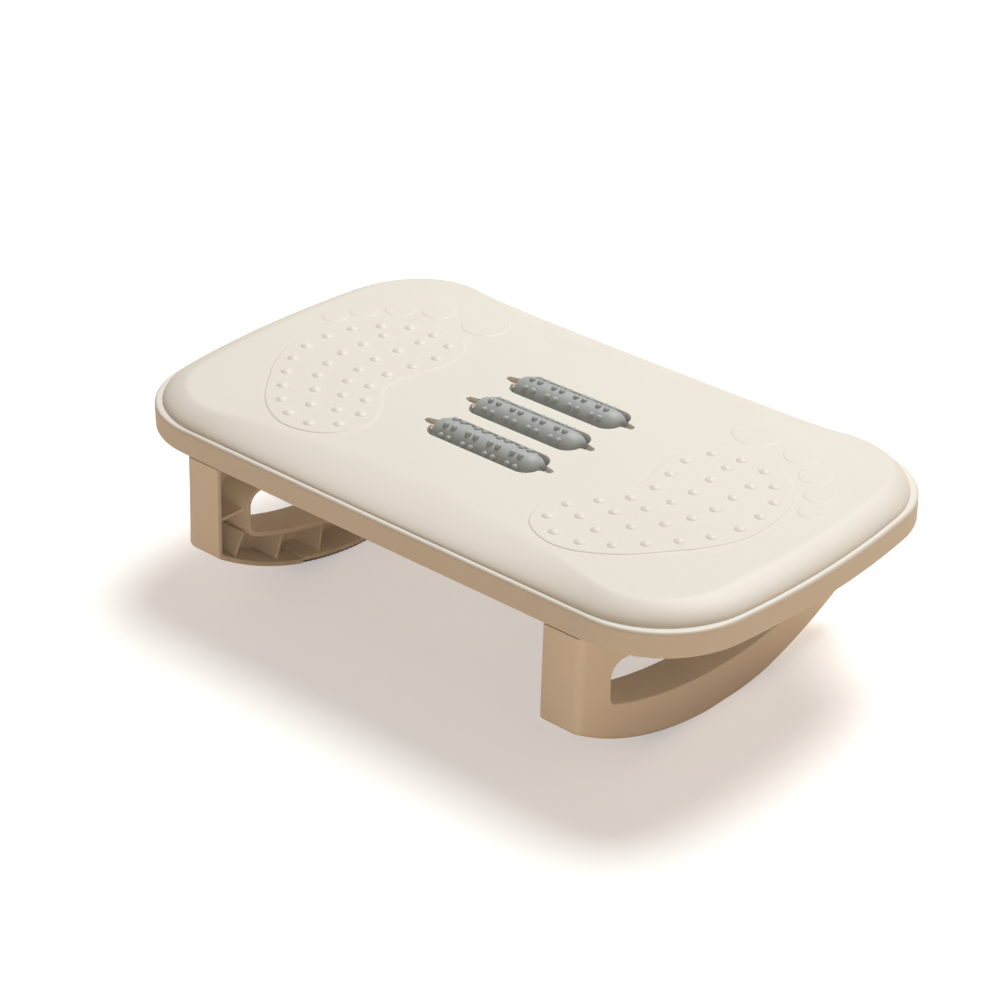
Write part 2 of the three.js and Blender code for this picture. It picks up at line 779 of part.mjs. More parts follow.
// A domed end cap for the +X end: a plug inside the sleeve, then a dome that narrows to the axle
function rollerCap() {
  const domeStart = rollerHalfLength - rollerEndLength + capSeamGap;
  const plugRadius = rollerRadius - rollerWall - capPlugGap;
  const bore = axleRadius + axleClearance;
  const domeShares = [0, 0.35, 0.65, 0.88, 1];
  const domeProfile = domeShares.map((share) => {
    const fall = 1 - Math.sqrt(1 - share ** 2);
    const radius = THREE.MathUtils.lerp(rollerRadius, rollerEndRadius, fall);
    return new THREE.Vector2(radius, domeStart + share * (rollerHalfLength - domeStart));
  });
  const profile = [
    new THREE.Vector2(bore, domeStart - capPlugLength),
    new THREE.Vector2(plugRadius, domeStart - capPlugLength),
    new THREE.Vector2(plugRadius, domeStart),
    ...domeProfile,
    new THREE.Vector2(bore, rollerHalfLength),
    new THREE.Vector2(bore, domeStart - capPlugLength),
  ];
  return alongX(new THREE.LatheGeometry(profile, rollerFacets));
}

function axle() {
  const profile = [
    new THREE.Vector2(0, -axleHalfLength),
    new THREE.Vector2(axleTipRadius, -axleHalfLength),
    new THREE.Vector2(axleRadius, axleTipLength - axleHalfLength),
    new THREE.Vector2(axleRadius, axleHalfLength - axleTipLength),
    new THREE.Vector2(axleTipRadius, axleHalfLength),
    new THREE.Vector2(0, axleHalfLength),
  ];
  return alongX(new THREE.LatheGeometry(profile, rollerFacets));
}

// A pan head screw that points upwards, from its head's upper face at the origin
function screw() {
  const shankTop = screwLength - 2 * screwGap - overrun;
  const profile = [
    new THREE.Vector2(0, -screwHeadHeight),
    new THREE.Vector2(screwHeadRadius * 0.7, -screwHeadHeight),
    new THREE.Vector2(screwHeadRadius, -screwHeadHeight / 2),
    new THREE.Vector2(screwHeadRadius, 0),
    new THREE.Vector2(screwRadius, 0),
    new THREE.Vector2(screwRadius, shankTop - screwRadius),
    new THREE.Vector2(0, shankTop),
  ];
  return new THREE.LatheGeometry(profile, 10).rotateX(Math.PI / 2);
}

// Materials

function plastic(color, roughness) {
  return new THREE.MeshStandardMaterial({ color, roughness, metalness: 0 });
}

const creamPlastic = () => plastic(0xe6dfd2, 0.5);
const legPlastic = () => plastic(0xe2d6c4, 0.55);
const greyPlastic = () => plastic(0x9da09c, 0.6);
const rubber = () => plastic(0x5a5650, 0.9);
const steel = () => new THREE.MeshStandardMaterial({ color: 0xb8b8b6, roughness: 0.35, metalness: 1 });

// Assembly

function piece(name, geometry, material) {
  const mesh = new THREE.Mesh(geometry, material);
  mesh.name = name;
  return mesh;
}

// One roller with its caps and axle, at rest with its first row of nubs above the heel side
function rollerSet(name, y, restAngle) {
  const set = new THREE.Group();
  set.position.set(0, y, axleHeight);
  const turning = new THREE.Group();
  turning.rotation.x = -THREE.MathUtils.degToRad(restAngle);
  const leftCap = piece(`${name}_roller_left_cap`, rollerCap(), greyPlastic());
  leftCap.rotation.z = Math.PI;
  turning.add(
    piece(`${name}_roller`, rollerSleeve(), greyPlastic()),
    leftCap,
    piece(`${name}_roller_right_cap`, rollerCap(), greyPlastic()),
  );
  set.add(turning, piece(`${name}_axle`, axle(), creamPlastic()));
  return set;
}

function legScrews(name, side) {
  return legScrewPlaces(side).map(([x, y], i) => {
    const mesh = piece(`${name}_leg_screw_${i + 1}`, screw(), steel());
    mesh.position.set(x, y, legTop - tabThickness - screwGap);
    return mesh;
  });
}

const footrest = new THREE.Group();
footrest.add(
  piece('footboard', footboard(), creamPlastic()),
  piece('left_leg', mirroredInX(leg()), legPlastic()),
  piece('right_leg', leg(), legPlastic()),
  piece('left_sole_strip', mirroredInX(soleStrip()), rubber()),
  piece('right_sole_strip', soleStrip(), rubber()),
  rollerSet('near', rollerYs[0], nearRollerAngle),
  rollerSet('middle', rollerYs[1], middleRollerAngle),
  rollerSet('far', rollerYs[2], farRollerAngle),
  ...legScrews('left', -1),
  ...legScrews('right', 1),
);

export default footrest;
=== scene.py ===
# %% [markdown]
# # A tilting footrest with massage rollers
# The object is a moulded cream board on two curved legs. Three grey rollers with nubs turn in
# slots in its middle, and two foot shapes with low domes lie beside them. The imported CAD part
# is the fixed frame: it says where each piece is and what moves. This script gives every piece
# its real surface, edges and finish. Lengths below are in millimetres, as on a drawing, and
# become metres in one place, where a mesh is made.

# %% Load the frame
import math

import bmesh
import bpy
import numpy as np
from mathutils import Matrix, Vector
from mathutils.geometry import delaunay_2d_cdt


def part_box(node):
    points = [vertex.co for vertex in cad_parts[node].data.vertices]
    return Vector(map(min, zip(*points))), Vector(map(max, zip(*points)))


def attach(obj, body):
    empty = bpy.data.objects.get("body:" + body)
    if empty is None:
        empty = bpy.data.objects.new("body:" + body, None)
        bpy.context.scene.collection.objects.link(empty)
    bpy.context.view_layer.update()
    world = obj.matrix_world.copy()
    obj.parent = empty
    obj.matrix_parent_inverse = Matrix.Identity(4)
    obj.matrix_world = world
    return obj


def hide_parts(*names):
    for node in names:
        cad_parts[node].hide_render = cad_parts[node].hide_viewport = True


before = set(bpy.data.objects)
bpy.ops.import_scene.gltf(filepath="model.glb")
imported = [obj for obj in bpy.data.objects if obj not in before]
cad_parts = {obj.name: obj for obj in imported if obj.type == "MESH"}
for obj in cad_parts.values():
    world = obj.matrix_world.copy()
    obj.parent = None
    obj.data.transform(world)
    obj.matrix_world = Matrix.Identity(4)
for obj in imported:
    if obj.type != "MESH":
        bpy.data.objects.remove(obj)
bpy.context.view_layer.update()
MM = 0.001

# %% [markdown]
# ## Camera
# The photograph is a three quarter view from the right of the heel side, a little from above,
# with a long lens. The camera's place, its direction and its lens were solved from the board's
# outline, so the render can be laid over the photograph.

# %% Camera
CAMERA_PLACE = (1.03135, -1.16177, 0.94421)
CAMERA_AZIMUTH = math.radians(42.162)
CAMERA_ELEVATION = math.radians(29.196)
CAMERA_LENS = 106.6
SENSOR_WIDTH = 36.0
NEAREST_SEEN = 0.05
FARTHEST_SEEN = 50.0


def add_object(name, data):
    """A new object in the scene that shows the data."""
    made = bpy.data.objects.new(name, data)
    bpy.context.scene.collection.objects.link(made)
    return made


def aim(thing, place, direction):
    """Puts a camera or a light at a place and turns it to look in a direction."""
    thing.location = place
    thing.rotation_mode = "QUATERNION"
    thing.rotation_quaternion = direction.to_track_quat("-Z", "Y")


camera_data = bpy.data.cameras.new("camera")
camera_data.lens = CAMERA_LENS
camera_data.sensor_width = SENSOR_WIDTH
camera_data.clip_start = NEAREST_SEEN
camera_data.clip_end = FARTHEST_SEEN
camera = add_object("camera", camera_data)
looking = Vector((
    -math.sin(CAMERA_AZIMUTH) * math.cos(CAMERA_ELEVATION),
    math.cos(CAMERA_AZIMUTH) * math.cos(CAMERA_ELEVATION),
    -math.sin(CAMERA_ELEVATION),
))
aim(camera, CAMERA_PLACE, looking)
bpy.context.scene.camera = camera
print("camera looks along", [round(v, 3) for v in looking])

# %% [markdown]
# ## Driving sizes
# The board's box comes from the frame. The rest are the sizes that the CAD part was drawn from:
# the flat panel's edge, the sloping shoulder, the slots, the rollers and the legs.

# %% Sizes of the board
SIDES = ((-1, "left"), (1, "right"))
board_low, board_high = (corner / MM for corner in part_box("footboard"))
HALF_LENGTH = board_high.x
HALF_WIDTH = board_high.y
BOARD_BOTTOM = board_low.z
DOME_HEIGHT = 1.85
PANEL = board_high.z - DOME_HEIGHT
PANEL_THICKNESS = 3.0
WALL = 2.8
CORNER_RADIUS = 62.0
FOOT_CORNER_RADIUS = 68.0
END_RADIUS = 570.0
SIDE_RADIUS = 32000.0

CREASE_HALF_LENGTH = 206.0
CREASE_HALF_WAIST = 94.5
CREASE_SHIFT = 4.5
CREASE_CORNER_RADIUS = 45.0
CREASE_SIDE_RADIUS = -570.0

SHOULDER_DROP = 9.2
SHOULDER_INSET = 3.2
SHOULDER_SLOPE_SHARE = 0.35
SHOULDER_SOFT_SHARE = 0.2
RIM_RADIUS = 2.1
LOWER_EDGE_RADIUS = 0.8
print("panel at", round(PANEL, 1), "board", HALF_LENGTH * 2, "x", HALF_WIDTH * 2)

# %% Sizes of the rollers and slots
ROLLER_PITCH = 36.45
ROLLER_ROW_Y = 3.0
ROLLER_DROP = 4.4
ROLLER_RADIUS = 9.7
ROLLER_WALL = 2.2
ROLLER_HALF_LENGTH = 40.3
ROLLER_END_LENGTH = 8.5
ROLLER_END_RADIUS = 4.2
NUB_HEIGHT = 2.0
NUB_BASE_RADIUS = 2.1
NUB_ROWS = 8
NUB_PAIRS = 4
NUB_PAIR_PITCH = 17.45
NUB_PAIR_GAP = 6.22
REST_ANGLES = {"near": 22.0, "middle": 38.5, "far": 43.4}
AXLE_RADIUS = 2.0
AXLE_END_GAP = 0.5
AXLE_HEIGHT = PANEL - ROLLER_DROP
ROLLER_STEPS = {"near": -1, "middle": 0, "far": 1}
ROLLER_Y = {name: ROLLER_ROW_Y + step * ROLLER_PITCH for name, step in ROLLER_STEPS.items()}

SLOT_HALF_LENGTH = 42.4
SLOT_HALF_WIDTH = 13.0
SLOT_CORNER_RADIUS = 10.0
NOTCH_MOUTH_HALF_WIDTH = 3.6
NOTCH_TIP_RADIUS = 2.2
NOTCH_TIP = SLOT_HALF_LENGTH + 7.8
SADDLE_CLEARANCE = 0.3
SADDLE_RADIUS = AXLE_RADIUS + SADDLE_CLEARANCE
SADDLE_MOUTH_HALF_WIDTH = 1.9
SADDLE_TOP = AXLE_HEIGHT + math.sqrt(SADDLE_RADIUS**2 - SADDLE_MOUTH_HALF_WIDTH**2)
WELL_BOTTOM = PANEL - 19.5
WELL_WALL = 2.0
print("rollers at y", ROLLER_Y, "axle height", round(AXLE_HEIGHT, 1))

# %% Sizes of the legs
LEG_INNER = 129.0
LEG_OUTER = 157.0
LEG_LEAN = 2.4
LEG_LOWER_CORNER_HEIGHT = 41.6
LEG_WALL = 3.0
LEG_CORNER_RADIUS = 5.0
LEG_EDGE_RADIUS = 4.5
LEG_LOWER_CORNER_RADIUS = 5.5
LEG_SEAM = 0.3
LEG_TOP = BOARD_BOTTOM - LEG_SEAM
ROCKER_RADIUS = 231.0
REST_FLAT_HALF = 14.0
REST_FLAT_ANGLE = math.asin(REST_FLAT_HALF / ROCKER_RADIUS)
ROCKER_CENTRE = ROCKER_RADIUS * math.cos(REST_FLAT_ANGLE)
KINK_Y = 40.7
FLANK_RADIUS = 350.0
STRIP_HEEL_ANGLE = math.radians(-16.0)
STRIP_TOE_ANGLE = math.radians(10.0)
STRIP_THICKNESS = 1.7
STRIP_PROUD = 0.3
STRIP_OUTER_RIM = 4.5
STRIP_INSET = 1.5
STRIP_GAP = 0.3

HOLE_FRONT = -105.0
HOLE_BACK = 109.0
HOLE_TOP = 74.1
HOLE_BOTTOM = 28.3
HOLE_FLOOR_RADIUS = 285.0
HOLE_TOP_RADIUS = 9.0
HOLE_BOTTOM_RADIUS = 7.0
COLLAR_WALL = 3.2
LEG_RIB_THICKNESS = 1.8
LEG_RIB_RECESS = 4.0
LEG_RIB_COUNT = 7
LEG_RIB_FIRST = -30.8
LEG_RIB_PITCH = 9.6
LEG_RIB_ANGLES = [math.radians(LEG_RIB_FIRST + LEG_RIB_PITCH * i) for i in range(LEG_RIB_COUNT)]
LEG_CROSS_RIB_HEIGHT = 64.4

TAB_REACH = 16.0
TAB_WIDTH = 18.0
TAB_THICKNESS = 3.0
SCREW_X = LEG_INNER - TAB_REACH / 2
SCREW_Y = [share * HALF_WIDTH for share in (-0.86, -0.345, 0.345, 0.86)]
print("leg top at", round(LEG_TOP, 1))

# %% [markdown]
# ## Materials
# The board is a warm cream plastic with a satin skin. The legs and the axle pins are the same
# plastic, in copies painted for light: the legs' copy lighter and warmer, as painted light for the
# warm light on their upright faces, and the pins' copy darker and browner, as painted shade in the
# notches. Moulded plastic has a very fine grain from the mould and a faint cloudiness in its colour,
# so both come from noise that is read in object coordinates. The rollers are a softer grey plastic,
# the strips under the legs are rubber, and the screws are zinc plated steel.

# %% Materials and nodes
def new_material(name, settings):
    """A material, its node tree and its shader, with the shader's inputs set by name."""
    material = bpy.data.materials.new(name)
    material.use_nodes = True
    shader = material.node_tree.nodes["Principled BSDF"]
    for socket, value in settings.items():
        shader.inputs[socket].default_value = value
    return material, material.node_tree, shader


def add_node(tree, kind, settings=(), data_type=None):
    """A new node, with its inputs set by name."""
    node = tree.nodes.new(kind)
    if data_type:
        node.data_type = data_type
    for socket, value in dict(settings).items():
        node.inputs[socket].default_value = value
    return node


def link_nodes(tree, *routes):
    """Links nodes. A route is a node and its output, then another node and its input."""
    for source, output, target, entry in routes:
        tree.links.new(source.outputs[output], target.inputs[entry])


# %% A moulded surface
CLOUD_NOISE = {"Scale": 14.0, "Detail": 3.0}
GRAIN_DETAIL = 2.0
GRAIN_STRENGTH = 0.35
ROUGHNESS_DRIFT = 0.05


def moulded(name, light, dark, roughness, grain_size, grain_depth, settings):
    """A plastic whose colour drifts between two near tones, with a fine moulded grain."""
    material, tree, shader = new_material(name, settings)
    place = add_node(tree, "ShaderNodeTexCoord")
    cloud = add_node(tree, "ShaderNodeTexNoise", CLOUD_NOISE)
    tone = add_node(tree, "ShaderNodeMix", {"A": (*light, 1.0), "B": (*dark, 1.0)}, "RGBA")
    grain_noise = {"Scale": 1.0 / (grain_size * MM), "Detail": GRAIN_DETAIL}
    grain = add_node(tree, "ShaderNodeTexNoise", grain_noise)
    drift = {"To Min": roughness - ROUGHNESS_DRIFT, "To Max": roughness + ROUGHNESS_DRIFT}
    spread = add_node(tree, "ShaderNodeMapRange", drift)
    relief = {"Strength": GRAIN_STRENGTH, "Distance": grain_depth * MM}
    bump = add_node(tree, "ShaderNodeBump", relief)
    link_nodes(
        tree,
        (place, "Object", cloud, "Vector"),
        (cloud, "Fac", tone, "Factor"),
        (tone, "Result", shader, "Base Color"),
        (place, "Object", grain, "Vector"),
        (grain, "Fac", spread, "Value"),
        (spread, "Result", shader, "Roughness"),
        (grain, "Fac", bump, "Height"),
        (bump, "Normal", shader, "Normal"),
    )
    return material


# %% The finishes
cream_plastic = moulded(
    "cream_plastic", light=(0.790, 0.768, 0.712), dark=(0.765, 0.738, 0.675),
    roughness=0.46, grain_size=0.7, grain_depth=0.03,
    settings={
        "Specular IOR Level": 0.42,
        "Subsurface Weight": 0.05,
        "Subsurface Radius": (0.006, 0.004, 0.002),
        "Subsurface Scale": 0.5,
    },
)
# Painted light: a lighter, warmer copy of the cream plastic, which stands in for the warm light on the
# legs' upright faces.
leg_plastic = moulded(
    "leg_plastic", light=(0.900, 0.853, 0.785), dark=(0.870, 0.815, 0.730),
    roughness=0.50, grain_size=0.7, grain_depth=0.03, settings={"Specular IOR Level": 0.40},
)
# Painted shade: a darker, browner copy of the cream plastic, which stands in for the shade the pins lie in
# inside the notches.
axle_plastic = moulded(
    "axle_plastic", light=(0.620, 0.530, 0.440), dark=(0.580, 0.490, 0.400),
    roughness=0.50, grain_size=0.7, grain_depth=0.03, settings={"Specular IOR Level": 0.40},
)
roller_plastic = moulded(
    "roller_plastic", light=(0.430, 0.462, 0.470), dark=(0.385, 0.415, 0.420),
    roughness=0.50, grain_size=0.5, grain_depth=0.02,
    settings={"Specular IOR Level": 0.5, "Sheen Weight": 0.15, "Sheen Roughness": 0.5},
)
strip_rubber = moulded(
    "strip_rubber", light=(0.200, 0.175, 0.150), dark=(0.160, 0.140, 0.122),
    roughness=0.82, grain_size=1.2, grain_depth=0.10, settings={"Specular IOR Level": 0.25},
)
screw_steel = moulded(
    "screw_steel", light=(0.60, 0.60, 0.58), dark=(0.48, 0.48, 0.46),
    roughness=0.32, grain_size=0.3, grain_depth=0.01, settings={"Metallic": 1.0},
)
print("finishes:", [m.name for m in bpy.data.materials])

# %% [markdown]
# ## How a shape is gathered
# Most pieces here are mouldings whose walls follow an outline. Such a piece is easy to build
# from rings of points: each ring is bridged to the next with quads, and the flat places between
# rings are filled with triangles by Blender's own planar triangulation. The gathering class
# below does this and turns the result into one closed mesh.

# %% Gather rings and sheets
CROSSING_TOLERANCE = 1e-6
WELD_DISTANCE = 1e-6
SLIVER_LENGTH = 1e-7
BOX_FACES = ((3, 2, 1, 0), (4, 5, 6, 7), (0, 1, 5, 4), (1, 2, 6, 5), (2, 3, 7, 6), (3, 0, 4, 7))


def as_array(points):
    """Points of a plane as an array of their two coordinates."""
    return np.array([(p.x, p.y) for p in points])


def is_inside(places, loop):
    """Which of the places lie inside a closed loop, both as arrays of x and y."""
    result = np.zeros(len(places), bool)
    x, y = places[:, 0], places[:, 1]
    for (x1, y1), (x2, y2) in zip(loop, np.roll(loop, -1, axis=0)):
        if y1 != y2:
            crosses = (y1 > y) != (y2 > y)
            result ^= crosses & (x < (x2 - x1) * (y - y1) / (y2 - y1) + x1)
    return result


class Gathering:
    """Rings and flat sheets of points, in millimetres, that make up one mesh."""

    def __init__(self):
        self.points = []
        self.faces = []

    def ring(self, points):
        first = len(self.points)
        self.points += [Vector(p) for p in points]
        return list(range(first, len(self.points)))

    def bridge(self, a, b):
        for i in range(len(a)):
            j = (i + 1) % len(a)
            self.faces.append((a[i], b[i], b[j], a[j]))

    def band(self, rings):
        """Adds rings, bridges each to the next, and gives back the first and the last."""
        added = [self.ring(points) for points in rings]
        for a, b in zip(added, added[1:]):
            self.bridge(a, b)
        return added[0], added[-1]

    def sheet(self, outer, gaps=(), axes=(0, 1)):
        """Fills the flat inside of a ring. A gap is the ring round it and the ring within it, or None."""
        loops = [outer, *[ring for gap in gaps for ring in gap if ring]]
        names = [i for loop in loops for i in loop]
        flat = [Vector((self.points[i][axes[0]], self.points[i][axes[1]])) for i in names]
        edges, first = [], 0
        for loop in loops:
            edges += [(first + k, first + (k + 1) % len(loop)) for k in range(len(loop))]
            first += len(loop)
        made, _, triangles, sources, _, _ = delaunay_2d_cdt(flat, edges, [], 0, CROSSING_TOLERANCE)
        if len(made) > len(flat):
            raise ValueError(f"loops cross near {[tuple(p) for p in made[len(flat):]][:3]}")
        middle = as_array(made)[np.array([list(t) for t in triangles])].mean(axis=1)

        def covers(loop):
            return is_inside(middle, np.array([[self.points[i][k] for k in axes] for i in loop]))

        keep = covers(outer)
        for around, within in gaps:
            keep &= ~(covers(around) & (~covers(within) if within else True))
        for wanted, triangle in zip(keep, triangles):
            if wanted:
                self.faces.append(tuple(names[sources[k][0]] for k in triangle))

    def block(self, low, high):
        """A plain box between two corners."""
        (x0, y0, z0), (x1, y1, z1) = low, high
        i = self.ring([(x, y, z) for z in (z0, z1) for x, y in ((x0, y0), (x1, y0), (x1, y1), (x0, y1))])
        self.faces += [tuple(i[k] for k in face) for face in BOX_FACES]

    def mesh(self, name):
        data = bpy.data.meshes.new(name)
        data.from_pydata([p * MM for p in self.points], [], self.faces)
        work = bmesh.new()
        work.from_mesh(data)
        bmesh.ops.remove_doubles(work, verts=work.verts, dist=WELD_DISTANCE)
        bmesh.ops.dissolve_degenerate(work, edges=work.edges, dist=SLIVER_LENGTH)
        bmesh.ops.recalc_face_normals(work, faces=work.faces)
        work.to_mesh(data)
        work.free()
        return data


# %% Put a piece into the scene
SHARP_ANGLE = math.radians(38.0)


def add_piece(name, data, material, body, replaced=()):
    """Puts a finished mesh into the scene as a piece that rides on a body."""
    data.shade_smooth()
    data.set_sharp_from_angle(angle=SHARP_ANGLE)
    data.name = name
    data.materials.clear()
    data.materials.append(material)
    piece = add_object(name, data)
    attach(piece, body)
    if replaced:
        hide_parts(*replaced)
    print(f"{name}: {len(data.polygons)} faces")


# %% [markdown]
# ## Outlines
# The board's plan is four gentle arcs with tangent corner arcs. The foot of the shoulder is made
# the same way with wider corners. So is the crease round the flat panel, but its long sides bow
# inwards, so the shoulder is wider in the middle. Every outline has the same number of points,
# so that one can be bridged to another.

# %% Arcs and rounded outlines
END_STEPS = 10
CORNER_STEPS = 24
SIDE_STEPS = 30


def arc(centre_a, centre_b, radius, start, end, steps):
    """Points of an arc in a plane, from one angle to another."""
    angles = [start + (end - start) * i / steps for i in range(steps + 1)]
    return [Vector((centre_a + radius * math.cos(t), centre_b + radius * math.sin(t))) for t in angles]


def rounded_outline(half_length, half_width, corner_radius, end_radius, side_radius):
    """Ends and sides are arcs with tangent corner arcs. A negative side radius bows inwards."""
    bow = math.copysign(1.0, side_radius)
    end = Vector((half_length - end_radius, 0.0))
    side = Vector((0.0, half_width - side_radius))
    to_end, to_side = end_radius - corner_radius, side_radius - corner_radius
    span = (side - end).length
    along = (to_end**2 - to_side**2 + span**2) / (2 * span)
    direction = (side - end) / span
    normal = Vector((-direction.y, direction.x)) * bow
    corner = end + direction * along + normal * math.sqrt(to_end**2 - along**2)
    end_angle = math.atan2(corner.y - end.y, corner.x - end.x)
    towards = (corner - side) if side_radius > 0 else (side - corner)
    side_angle = math.atan2(towards.y, towards.x)
    quarter = arc(end.x, end.y, end_radius, 0.0, end_angle, END_STEPS)
    quarter += arc(corner.x, corner.y, corner_radius, end_angle, side_angle, CORNER_STEPS)[1:]
    last = quarter[-1]
    for i in range(1, SIDE_STEPS + 1):
        x = last.x * (1 - i / SIDE_STEPS)
        quarter.append(Vector((x, side.y + bow * math.sqrt(side_radius**2 - x**2))))
    upper = quarter + [Vector((-p.x, p.y)) for p in quarter[-2::-1]]
    return upper + [Vector((p.x, -p.y)) for p in upper[-2:0:-1]]


# %% The board's own outlines
def board_outline(inset, corner_radius=CORNER_RADIUS):
    """The board's plan, moved inwards."""
    return rounded_outline(
        HALF_LENGTH - inset,
        HALF_WIDTH - inset,
        corner_radius - inset,
        END_RADIUS - inset,
        SIDE_RADIUS - inset,
    )


def foot_outline(inset):
    """The line at the foot of the shoulder. Its corners are wider than the board's."""
    return board_outline(inset, FOOT_CORNER_RADIUS)


def crease_outline(inset):
    """The crease round the flat panel, moved inwards."""
    outline = rounded_outline(
        CREASE_HALF_LENGTH - inset,
        CREASE_HALF_WAIST - inset,
        CREASE_CORNER_RADIUS - inset,
        END_RADIUS - inset,
        CREASE_SIDE_RADIUS - inset,
    )
    return [p + Vector((0.0, CREASE_SHIFT)) for p in outline]


print("points on an outline:", len(board_outline(0.0)))

# %% Work with loops
SHARPEST_MITRE = 0.5


def inward(points, i):
    """The way into a counter-clockwise loop at a point, and its cosine to the edge's normal."""
    a = (points[i] - points[i - 1]).normalized()
    b = (points[(i + 1) % len(points)] - points[i]).normalized()
    middle = Vector((-a.y - b.y, a.x + b.x)).normalized()
    return middle, middle.dot(Vector((-a.y, a.x)))


def offset_loop(points, distance):
    """Moves a counter-clockwise loop inwards by a distance, or outwards when it is negative."""
    moved = []
    for i, p in enumerate(points):
        middle, share = inward(points, i)
        moved.append(p + middle * (distance / max(share, SHARPEST_MITRE)))
    return moved


def level(points, z):
    """Points of the plan at one height."""
    return [(p.x, p.y, z) for p in points]


def between(inner, outer, share):
    """A loop at a share of the way from one loop to another."""
    return [a.lerp(b, share) for a, b in zip(inner, outer)]


def circle(centre, radius, steps):
    """A closed circle, counter-clockwise."""
    return arc(centre[0], centre[1], radius, 0.0, 2 * math.pi, steps)[:-1]


# %% [markdown]
# ## Foot shapes
# Each foot shape is a sole and five toes, raised by a hair from the panel. The sole carries two
# sets of domes: a ring that follows its outline a little inside it, and slanted pairs down the
# middle. The outline is one smooth closed curve through a few points chosen on the right foot.
# The left foot is its mirror image.

# %% Foot shape curves
SOLE_POINTS = [
    (78, -85), (97, -95), (117, -93.5), (140, -79.3), (159, -57), (169.5, -43), (179.5, -22),
    (181.5, 2), (176, 28), (164, 44), (146, 57), (128, 60.5), (108, 58), (95, 49),
    (89.5, 30), (92, 12), (96.5, -8), (94, -24), (84, -36), (75, -48), (69.5, -64),
]
PAIR_MIDDLES = [
    (104.3, -64.6), (116.2, -48.6), (127.7, -33.7), (134, -18.1), (136.9, -1.5), (135.4, 16.2),
    (133.8, 33.6),
]
TOES = [
    ((108.7, 83.9), 15.5), ((144.5, 78.8), 10.6), ((164.9, 64.3), 9.5), ((181, 47.3), 8.9),
    ((189.2, 29.6), 8.2),
]
CURVE_STEPS = 24
SOLE_STEPS = 200
RING_INSET = 9.7
RING_DOMES = 20
RING_START = 0.59
PAIR_ANGLE = math.radians(-19.0)
HEEL_PAIR_HALF = 8.8
BALL_PAIR_HALF = 12.6


def curve_through(points):
    """A smooth closed curve through given points: a Catmull-Rom spline."""
    points = [Vector(p) for p in points]
    out = []
    for i in range(len(points)):
        p0, p1, p2, p3 = (points[(i + k) % len(points)] for k in (-1, 0, 1, 2))
        for step in range(CURVE_STEPS):
            t = step / CURVE_STEPS
            out.append(0.5 * (
                2 * p1 + (p2 - p0) * t + (2 * p0 - 5 * p1 + 4 * p2 - p3) * t**2
                + (3 * p1 - p0 - 3 * p2 + p3) * t**3
            ))
    return out


def evenly(points, count, start=0.0):
    """Places at equal distances round a closed line, the first one a share of a step in."""
    xy = as_array([*points, points[0]])
    run = np.concatenate([[0.0], np.cumsum(np.linalg.norm(np.diff(xy, axis=0), axis=1))])
    at = (np.arange(count) + start) * run[-1] / count
    return [Vector((np.interp(s, run, xy[:, 0]), np.interp(s, run, xy[:, 1]))) for s in at]


# The line starts at the last point, beside the heel, and the ring of domes counts from there.
sole_line = evenly(curve_through([SOLE_POINTS[-1], *SOLE_POINTS[:-1]]), SOLE_STEPS)


def dome_places():
    """Places of the domes of the right foot."""
    places = evenly(offset_loop(sole_line, RING_INSET), RING_DOMES, RING_START)
    across = Vector((math.cos(PAIR_ANGLE), math.sin(PAIR_ANGLE)))
    for i, middle in enumerate(PAIR_MIDDLES):
        half = HEEL_PAIR_HALF + (BALL_PAIR_HALF - HEEL_PAIR_HALF) * i / (len(PAIR_MIDDLES) - 1)
        places += [Vector(middle) + across * half, Vector(middle) - across * half]
    return places


print("domes on each foot:", len(dome_places()))

# %% [markdown]
# ## Board
# The board is one thin moulding: a flat panel, a rounded shoulder, a narrow rounded rim, a
# straight skirt, and the same surfaces again on the inside. Narrow guard rings lie in the flat
# panel beside every crease, slot and raised edge, so that smooth shading bends only there.

# %% The slots' outline
SLOT_STEPS = 12


def slot_outline(y):
    """A roller slot with a notch at each end, counter-clockwise."""
    tip_centre = NOTCH_TIP - NOTCH_TIP_RADIUS
    corner_x = SLOT_HALF_LENGTH - SLOT_CORNER_RADIUS
    corner_y = SLOT_HALF_WIDTH - SLOT_CORNER_RADIUS
    mouth = math.asin((NOTCH_MOUTH_HALF_WIDTH - corner_y) / SLOT_CORNER_RADIUS)
    end = arc(tip_centre, 0.0, NOTCH_TIP_RADIUS, -math.pi / 3, math.pi / 3, SLOT_STEPS)
    end += arc(corner_x, corner_y, SLOT_CORNER_RADIUS, mouth, math.pi / 2, SLOT_STEPS)
    end += arc(-corner_x, corner_y, SLOT_CORNER_RADIUS, math.pi / 2, math.pi - mouth, SLOT_STEPS)
    whole = end + [-p for p in end]
    return [p + Vector((0.0, y)) for p in whole]


print("points round a slot:", len(slot_outline(0.0)))

# %% Slot edges and raised foot shapes
GUARD = 0.5
SLOT_EDGE_RADIUS = 0.5
SLOT_EDGE_STEPS = 4
SOLE_RISE = 0.6
TOE_RISE = 0.35
TOE_STEPS = 56
RAISED_EDGE = 0.8
# Shares of the edge's width and of the rise.
RAISED_PROFILE = [(0.0, 0.0), (0.25, 0.1), (0.75, 0.9), (1.0, 1.0)]


def slot_walls(shape, y):
    """A slot's wall with a rounded upper edge. Gives back its rings in the panel's two faces."""
    outline = slot_outline(y)
    walls = [level(offset_loop(outline, -SLOT_EDGE_RADIUS - GUARD), PANEL)]
    for i in range(SLOT_EDGE_STEPS + 1):
        t = math.pi / 2 * i / SLOT_EDGE_STEPS
        out, down = SLOT_EDGE_RADIUS * (1 - math.sin(t)), SLOT_EDGE_RADIUS * (1 - math.cos(t))
        walls.append(level(offset_loop(outline, -out), PANEL - down))
    return shape.band([*walls, level(outline, PANEL - PANEL_THICKNESS)])


